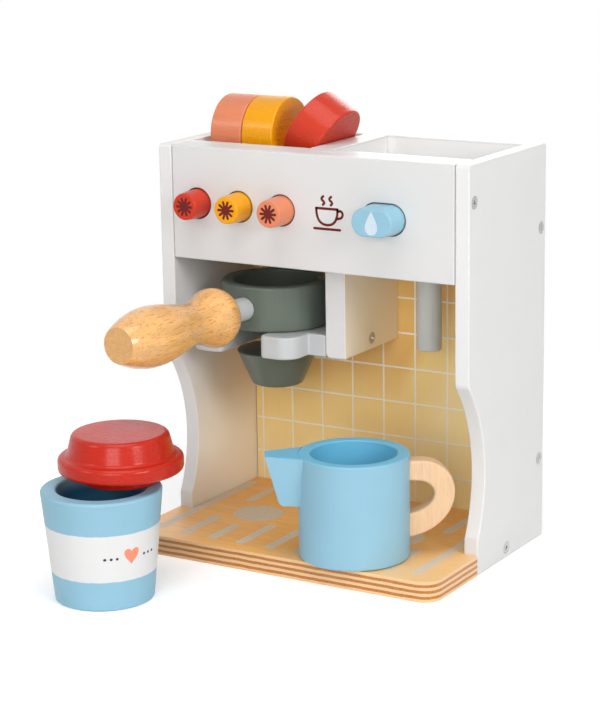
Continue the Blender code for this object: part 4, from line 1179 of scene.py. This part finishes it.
def panel_sign():
    """A line drawing of a steaming cup, printed on the front panel."""
    look = ink("sign_ink", MARK)
    half = 0.75 * MM
    bowl = [(-7, 3), (-6.6, -1), (-5, -4.4), (-2, -6.2), (2, -6.2), (5, -4.4), (6.6, -1), (7, 3)]
    ear = [(6.9, 1.9), (9.2, 2.1), (10.3, 0.4), (9.4, -1.6), (6.2, -2.6)]
    saucer = [(-8.5, -8.8), (8.5, -8.8)]
    steam = [[(x + 0.9 * math.sin(t * 2.2), 5.2 + 1.6 * t) for t in (0, 0.6, 1.2, 1.8, 2.4, 3.0)]
             for x in (-2.6, 2.6)]
    rim = [(-7, 3), (7, 3)]
    centre = Vector(((PEACH_X + WATER_X) / 2 - 3 * MM, BUTTON_Z + 0.3 * MM))
    for name, points in (("bowl", bowl), ("rim", rim), ("ear", ear), ("saucer", saucer),
                         ("steam_left", steam[0]), ("steam_right", steam[1])):
        line = smooth_line([Vector(point) * MM for point in points])
        mesh = ribbon(name, line, half)
        place = Matrix.Translation((centre.x, FRONT_Y, centre.y)) @ rotation_matrix(
            (math.pi / 2, 0, 0))
        mark_piece("cup_sign_" + name, "machine", mesh, place, look)


def smooth_line(points, steps=6):
    if len(points) < 3:
        return points
    found = []
    for index in range(len(points) - 1):
        before = points[max(index - 1, 0)]
        here, after = points[index], points[index + 1]
        beyond = points[min(index + 2, len(points) - 1)]
        for step in range(steps):
            t = step / steps
            found.append((2 * here + (after - before) * t
                          + (2 * before - 5 * here + 4 * after - beyond) * t ** 2
                          + (3 * here - before - 3 * after + beyond) * t ** 3) / 2)
    return found + [points[-1]]


def ribbon(name, line, half):
    """A flat stroke with round ends along a line in the plane."""
    left, right = [], []
    for index, point in enumerate(line):
        way = (line[min(index + 1, len(line) - 1)] - line[max(index - 1, 0)]).normalized()
        side = Vector((-way.y, way.x)) * half
        left.append(point + side)
        right.append(point - side)
    caps = []
    for centre, way in ((line[-1], (line[-1] - line[-2]).normalized()),
                        (line[0], (line[0] - line[1]).normalized())):
        side = Vector((-way.y, way.x))
        caps.append([centre + half * (-side * math.cos(a) + way * math.sin(a))
                     for a in (math.pi * step / 6 for step in range(1, 6))])
    outline = right + caps[0] + list(reversed(left)) + caps[1]
    return prism(name, outline, "Z", -0.02 * MM, 0.05 * MM)


def base_print():
    """Grey drip-tray marks on the base: a disc and rows of round-ended dashes."""
    look = ink("tray_ink", (0.69, 0.585, 0.465), 0.45)
    place = Matrix.Translation((0, 0, BASE_THICKNESS))
    for index, x in enumerate((-51.5, 46.5)):
        disc = [Vector((x + 15.4 * math.cos(a), -6.8 + 15.4 * math.sin(a))) * MM
                for a in (2 * math.pi * step / 64 for step in range(64))]
        mesh = prism("tray_disc", disc, "Z", -0.02 * MM, 0.04 * MM)
        mark_piece("tray_disc_%d_mark" % index, "machine", mesh, place, look)
    rows = [(-89.8, (-60, 50)), (85.8, (-61, 50))]
    for column in range(8):
        x = -70.5 + 19.7 * column
        if column in (1, 6):
            rows += [(x, (-62, -32)), (x, (19, 48))]
        else:
            rows += [(x, (-62, -22)), (x, (12, 44))]
    for index, (x, (low, high)) in enumerate(rows):
        half = 3.2
        ring = capsule_ring((x * MM, (low + half) * MM), (x * MM, (high - half) * MM), half * MM)
        mesh = prism("dash", ring, "Z", -0.02 * MM, 0.04 * MM)
        mark_piece("tray_dash_%d_mark" % index, "machine", mesh, place, look)


# Portafilter

def portafilter():
    helpers = []
    group = Matrix.Translation((BREW_X, BREW_Y, RING_Z)) @ Matrix.Rotation(PORTAFILTER_TURN, 4, "Z")
    forward = group @ Matrix.Translation((0, 0, RING_HEIGHT / 2)) @ rotation_matrix((math.pi / 2, 0, 0))

    def at(name, mesh, place):
        made = raw(name, mesh)
        made.matrix_world = place
        helpers.append(made)
        return made

    corners = (
        (0, 0), (RING_RADIUS, 0), (RING_RADIUS, RING_HEIGHT), (RING_BORE_RADIUS, RING_HEIGHT),
        (RING_BORE_RADIUS, RING_FLOOR), (0, RING_FLOOR),
    )
    profile = fillet(corners, (0, RING_EDGE, RING_EDGE, RING_EDGE, 1 * MM, 0), closed=False)
    ring = at("ring_work", turned("portafilter_ring", profile), group)
    neck = FORK_MOUTH / 2 - FORK_SHIFT - NECK_PLAY
    cone_top = CONE_TOP_Z - RING_Z
    cone_low = cone_top - CONE_HEIGHT
    corners = (
        (0, cone_low), (CONE_TIP_RADIUS, cone_low), (CONE_RADIUS, cone_top), (neck, cone_top),
        (neck, -GAP), (SPIGOT_RADIUS, -GAP), (SPIGOT_RADIUS, SPIGOT_LENGTH), (0, SPIGOT_LENGTH),
    )
    profile = fillet(corners, (0, CONE_TIP_EDGE, EDGE, 0, 0, 0, 0, 0), closed=False)
    cone = at("cone_work", turned("portafilter_cone", profile), group)
    spigot = at("spigot_hole", turned(
        "spigot_hole", rod_profile(SPIGOT_RADIUS + GAP, -OVERRUN, SPIGOT_LENGTH + GAP)), group)
    dowel_low = RING_RADIUS - DOWEL_IN_RING
    handle_low = RING_RADIUS + DOWEL_SHOWN
    dowel_high = handle_low + DOWEL_IN_HANDLE
    dowel = at("dowel_work", turned(
        "portafilter_dowel", rod_profile(DOWEL_RADIUS, dowel_low, dowel_high)), forward)
    bore = at("dowel_bore", turned(
        "dowel_bore", rod_profile(DOWEL_RADIUS + GAP, dowel_low - GAP, dowel_high + GAP)), forward)
    outline = smooth_outline(HANDLE_OUTLINE_SHARES, HANDLE_LENGTH, HANDLE_RADIUS, 7)
    profile = [(0, 0)] + outline + [(0, HANDLE_LENGTH)]
    profile = [(point[0], point[1] + handle_low) for point in profile]
    handle = at("handle_work", turned("portafilter_handle", profile), forward)
    cut(ring, spigot)
    cut(ring, bore)
    cut(handle, bore)
    slate = paint("slate_paint_coat", SLATE, 0.36, "Z", coat=0.3, gloss=0.2)
    finish_piece("portafilter_ring", "portafilter", ring, slate)
    finish_piece("portafilter_cone", "portafilter", cone, slate)
    finish_piece("portafilter_dowel", "portafilter", dowel, paint("dowel_paint", GREY, 0.42, "Z"))
    finish_piece("portafilter_handle", "portafilter", handle,
                 beech("lacquered_beech", (0.79, 0.42, 0.14), "Z", 0.34, 0.9))
    sweep(helpers)


# Loose pieces

def pods():
    half = POD_THICKNESS / 2
    corners = ((0, -half), (POD_RADIUS, -half), (POD_RADIUS, half), (0, half))
    profile = fillet(corners, (0, POD_EDGE, POD_EDGE, 0), closed=False)
    peach_x = -INNER_X + FIRST_POD_INSET + half
    mustard_x = peach_x + POD_THICKNESS + GAP
    upright_z = TRAY_Z + GAP + POD_RADIUS
    sine, cosine = math.sin(RED_POD_LEAN), math.cos(RED_POD_LEAN)
    red_z = TRAY_Z + GAP + half * sine + POD_RADIUS * cosine
    over = (HEIGHT - red_z + half * sine) * sine / cosine
    red_x = PARTITION_LEFT - half * cosine - over - 2 * GAP
    for node, colour, x, z, lean in (
        ("peach_pod", PEACH, peach_x, upright_z, 0),
        ("mustard_pod", MUSTARD, mustard_x, upright_z, 0),
        ("red_pod", RED, red_x, red_z, RED_POD_LEAN),
    ):
        disc = turned(node, profile)
        disc.transform(Matrix.Rotation(math.pi / 2 + lean, 4, "Y"))
        work = raw(node + "_work", disc, (x, BAY_MIDDLE_Y, z))
        finish_piece(node, node, work, paint(node + "_paint", colour, 0.4, "Y", 4.0, coat=0.35, gloss=0.12))
        sweep([work])


def jug():
    helpers = []
    group = Matrix.Translation((JUG_X, JUG_Y, BASE_THICKNESS + GAP)) @ Matrix.Rotation(JUG_TURN, 4, "Z")

    def at(name, mesh):
        made = raw(name, mesh)
        made.matrix_world = group
        helpers.append(made)
        return made

    bore = JUG_RADIUS - JUG_WALL
    corners = (
        (0, 0), (JUG_RADIUS, 0), (JUG_RADIUS, JUG_HEIGHT), (bore, JUG_HEIGHT),
        (bore, JUG_FLOOR), (0, JUG_FLOOR),
    )
    body = at("jug_work", turned("jug_body", fillet(
        corners, (0, 1.5 * MM, JUG_EDGE, JUG_EDGE, 2 * MM, 0), closed=False)))
    saddle = at("jug_saddle", turned(
        "jug_saddle", rod_profile(JUG_RADIUS - 0.1 * MM, -OVERRUN, JUG_HEIGHT + OVERRUN), 128))
    inner = bore
    low = JUG_HEIGHT - SPOUT_DEPTH
    side = fillet(((-inner, low), (-SPOUT_LOW_REACH, low), (-SPOUT_REACH, JUG_HEIGHT)),
                  (0, SPOUT_CORNER_RADIUS, 0), closed=False)
    root_x = -JUG_RADIUS * math.cos(math.asin(SPOUT_WIDTH / 2 / JUG_RADIUS))
    rings = []
    for x, z in side[1:]:
        rise = (z - low) / SPOUT_DEPTH
        root = (SPOUT_LOW_WIDTH + (SPOUT_WIDTH - SPOUT_LOW_WIDTH) * rise) / 2
        share = (x - root_x) / (-SPOUT_REACH - root_x)
        tip = root + (SPOUT_TIP_WIDTH / 2 - root) * share
        rings.append(((-inner, root, z), (root_x, root, z), (x, tip, z),
                      (x, -tip, z), (root_x, -root, z), (-inner, -root, z)))
    spout = at("spout_work", loft("jug_spout", rings))
    bevel(spout, 1.1 * MM, 4)
    cut(spout, saddle)
    steps = 20
    outline = [Vector((inner, JUG_HANDLE_TOP))]
    outline += elliptic(
        (JUG_HANDLE_SHOULDER, JUG_HANDLE_MIDDLE), JUG_HANDLE_REACH - JUG_HANDLE_SHOULDER,
        JUG_HANDLE_TOP - JUG_HANDLE_MIDDLE, 90, 0, steps)
    outline += elliptic((inner, JUG_HANDLE_MIDDLE), JUG_HANDLE_REACH - inner,
                        JUG_HANDLE_MIDDLE - JUG_HANDLE_BOTTOM, 0, -90, steps)[1:]
    outline += elliptic((inner, FINGER_GAP_MIDDLE), FINGER_GAP_REACH - inner,
                        FINGER_GAP_MIDDLE - FINGER_GAP_BOTTOM, -90, 0, steps)
    outline += elliptic(
        (FINGER_GAP_SHOULDER, FINGER_GAP_MIDDLE), FINGER_GAP_REACH - FINGER_GAP_SHOULDER,
        FINGER_GAP_TOP - FINGER_GAP_MIDDLE, 0, 90, 10)[1:]
    outline.append(Vector((inner, FINGER_GAP_TOP)))
    half = JUG_HANDLE_THICKNESS / 2
    handle = at("jug_handle_work", prism("jug_handle", outline, "Y", -half, half))
    bevel(handle, 2 * MM, 5)
    cut(handle, saddle)
    # Painted shade down the jug's bore, and the same deeper blue on its rim.
    coat = painted_bore_shade(paint("jug_paint", BLUE, 0.42, "Z", 1.0, grain=0.35, gloss=0.3),
                       bore, JUG_HEIGHT, SHADED_BORE_BLUE)
    finish_piece("jug_body", "jug", body, coat)
    finish_piece("jug_spout", "jug", spout, coat)
    finish_piece("jug_handle", "jug", handle, beech("sawn_beech", (0.76, 0.515, 0.315), "Z", 0.5, flecks=0.25),
                 math.radians(50))
    sweep(helpers)


def cup_and_lid():
    corners = (
        (0, 0), (CUP_BASE_RADIUS, 0), (CUP_RADIUS, CUP_HEIGHT), (CUP_BORE_RADIUS, CUP_HEIGHT),
        (CUP_BORE_BASE_RADIUS, CUP_FLOOR), (0, CUP_FLOOR),
    )
    profile = fillet(corners, (0, CUP_EDGE, CUP_EDGE, CUP_EDGE, 2 * MM, 0), closed=False)
    work = raw("cup_work", turned("cup_body", profile, 128), (CUP_X, CUP_Y, 0))
    look = cup_coat("cup_paint", BLUE, WHITE, 17.5 * MM, 45 * MM)
    # Painted shade: a dark blue down the inside of the cup, below its rim.
    inner = look.span(look.z, CUP_HEIGHT - 0.009, CUP_HEIGHT - 0.0012, 1.0, 0.0)
    radius = look.math("SQRT", look.math(
        "ADD", look.math("MULTIPLY", look.x, look.x), look.math("MULTIPLY", look.y, look.y)))
    inner = look.math("MULTIPLY", inner, look.span(
        radius, CUP_BORE_RADIUS, CUP_BORE_RADIUS + 0.0006, 1.0, 0.0))
    tone = look.shader.inputs["Base Color"].links[0].from_socket
    look.feed("Base Color", look.mix(inner, tone, (0.03, 0.15, 0.28)))
    finish_piece("cup_body", "cup", work, look)
    sweep([work])
    rim_low, rim_high = PLUG_HEIGHT, PLUG_HEIGHT + LID_RIM_HEIGHT
    top = rim_low + LID_HEIGHT
    corners = (
        (0, 0), (PLUG_RADIUS, 0), (PLUG_RADIUS, rim_low), (LID_RADIUS, rim_low),
        (LID_RADIUS, rim_high), (LID_DOME_RADIUS, rim_high), (LID_TOP_RADIUS, top), (0, top),
    )
    radii = (0, EDGE, 0, LID_RIM_EDGE, LID_RIM_EDGE, LID_SWEEP_RADIUS, LID_DOME_EDGE, 0)
    profile = fillet(corners, radii, closed=False)
    work = raw("lid_work", turned("cup_lid", profile, 128),
               (CUP_X + LID_SHIFT_X, CUP_Y + LID_SHIFT_Y, CUP_HEIGHT + GAP))
    finish_piece("cup_lid", "lid", work, paint("lid_paint", (0.50, 0.014, 0.002), 0.34, "X", 6.0, coat=0.42, gloss=0.1))
    sweep([work])


# Studio

def studio():
    world = bpy.data.worlds.new("studio")
    bpy.context.scene.world = world
    world.use_nodes = True
    tree = world.node_tree
    background = tree.nodes["Background"]
    rays = tree.nodes.new("ShaderNodeLightPath")
    seen = tree.nodes.new("ShaderNodeMath")
    seen.operation = "MAXIMUM"
    tree.links.new(rays.outputs["Is Camera Ray"], seen.inputs[0])
    both = tree.nodes.new("ShaderNodeMath")
    both.operation = "MAXIMUM"
    tree.links.new(rays.outputs["Is Transmission Ray"], both.inputs[0])
    tree.links.new(rays.outputs["Is Glossy Ray"], both.inputs[1])
    tree.links.new(both.outputs[0], seen.inputs[1])
    level = tree.nodes.new("ShaderNodeMapRange")
    level.inputs["To Min"].default_value = 0.22
    level.inputs["To Max"].default_value = 1.0
    tree.links.new(seen.outputs[0], level.inputs["Value"])
    background.inputs["Color"].default_value = (1, 1, 1, 1)
    tree.links.new(level.outputs["Result"], background.inputs["Strength"])

    shape = bmesh.new()
    bmesh.ops.create_grid(shape, x_segments=1, y_segments=1, size=4)
    mesh = bpy.data.meshes.new("studio_floor")
    shape.to_mesh(mesh)
    shape.free()
    floor = bpy.data.objects.new("studio_floor", mesh)
    bpy.context.collection.objects.link(floor)
    look = Look("studio_floor_paint", 0.9)
    look.shader.inputs["Base Color"].default_value = (0.9, 0.9, 0.9, 1)
    look.shader.inputs["Specular IOR Level"].default_value = 0.1
    tree = look.tree
    rays = look.node("ShaderNodeLightPath")
    seen = look.math("MAXIMUM", rays.outputs["Is Camera Ray"], rays.outputs["Is Glossy Ray"])
    flat = look.math("SQRT", look.math("ADD", look.math("MULTIPLY", look.x, look.x),
                                       look.math("MULTIPLY", look.y, look.y)))
    away = look.span(flat, 0.22, 0.6)
    lift = look.node("ShaderNodeEmission", {"Color": (1, 1, 1, 1), "Strength": 0.29})
    white = look.node("ShaderNodeEmission", {"Color": (1, 1, 1, 1), "Strength": 1.0})
    raised = look.node("ShaderNodeAddShader")
    tree.links.new(look.shader.outputs[0], raised.inputs[0])
    tree.links.new(lift.outputs[0], raised.inputs[1])
    faded = look.node("ShaderNodeMixShader", {0: away})
    tree.links.new(raised.outputs[0], faded.inputs[1])
    tree.links.new(white.outputs[0], faded.inputs[2])
    shown = look.node("ShaderNodeMixShader", {0: seen})
    tree.links.new(look.shader.outputs[0], shown.inputs[1])
    tree.links.new(faded.outputs[0], shown.inputs[2])
    tree.links.new(shown.outputs[0], tree.nodes["Material Output"].inputs["Surface"])
    mesh.materials.append(look.material)

    for name, place, size, watts in (
        ("front_softbox", (0.4, -1.45, 0.5), 0.7, 7.9),
        ("left_softbox", (-0.8, -1.2, 0.9), 0.35, 2.6),
        ("right_softbox", (1.3, -0.5, 0.65), 0.5, 9.0),
        ("top_softbox", (0.15, -0.4, 1.45), 1.0, 9.4),
        ("rear_softbox", (-0.4, 1.5, 0.9), 1.0, 9.0),
    ):
        data = bpy.data.lights.new(name, "AREA")
        data.shape = "SQUARE"
        data.size = size
        data.energy = watts
        lamp = bpy.data.objects.new(name, data)
        bpy.context.collection.objects.link(lamp)
        lamp.location = place
        aim = Vector((0, 0, 0.12)) - Vector(place)
        lamp.rotation_euler = aim.to_track_quat("-Z", "Y").to_euler()

    data = bpy.data.cameras.new("photo_camera")
    data.sensor_fit = "AUTO"
    data.sensor_width = 36
    data.lens = 2205.0268 / 720 * 36
    camera = bpy.data.objects.new("photo_camera", data)
    bpy.context.collection.objects.link(camera)
    camera.location = (0.6398, -1.1004, 0.4228)
    camera.rotation_euler = (1.3324, 0.0151, 0.5392)
    data.clip_start = 0.05
    data.clip_end = 20
    bpy.context.scene.camera = camera
    bpy.context.scene.view_settings.view_transform = "Standard"


PEACH_X = button_places()[2][2]

carcass()
screws()
buttons()
panel_sign()
base_print()
portafilter()
pods()
jug()
cup_and_lid()
studio()

bpy.context.view_layer.update()
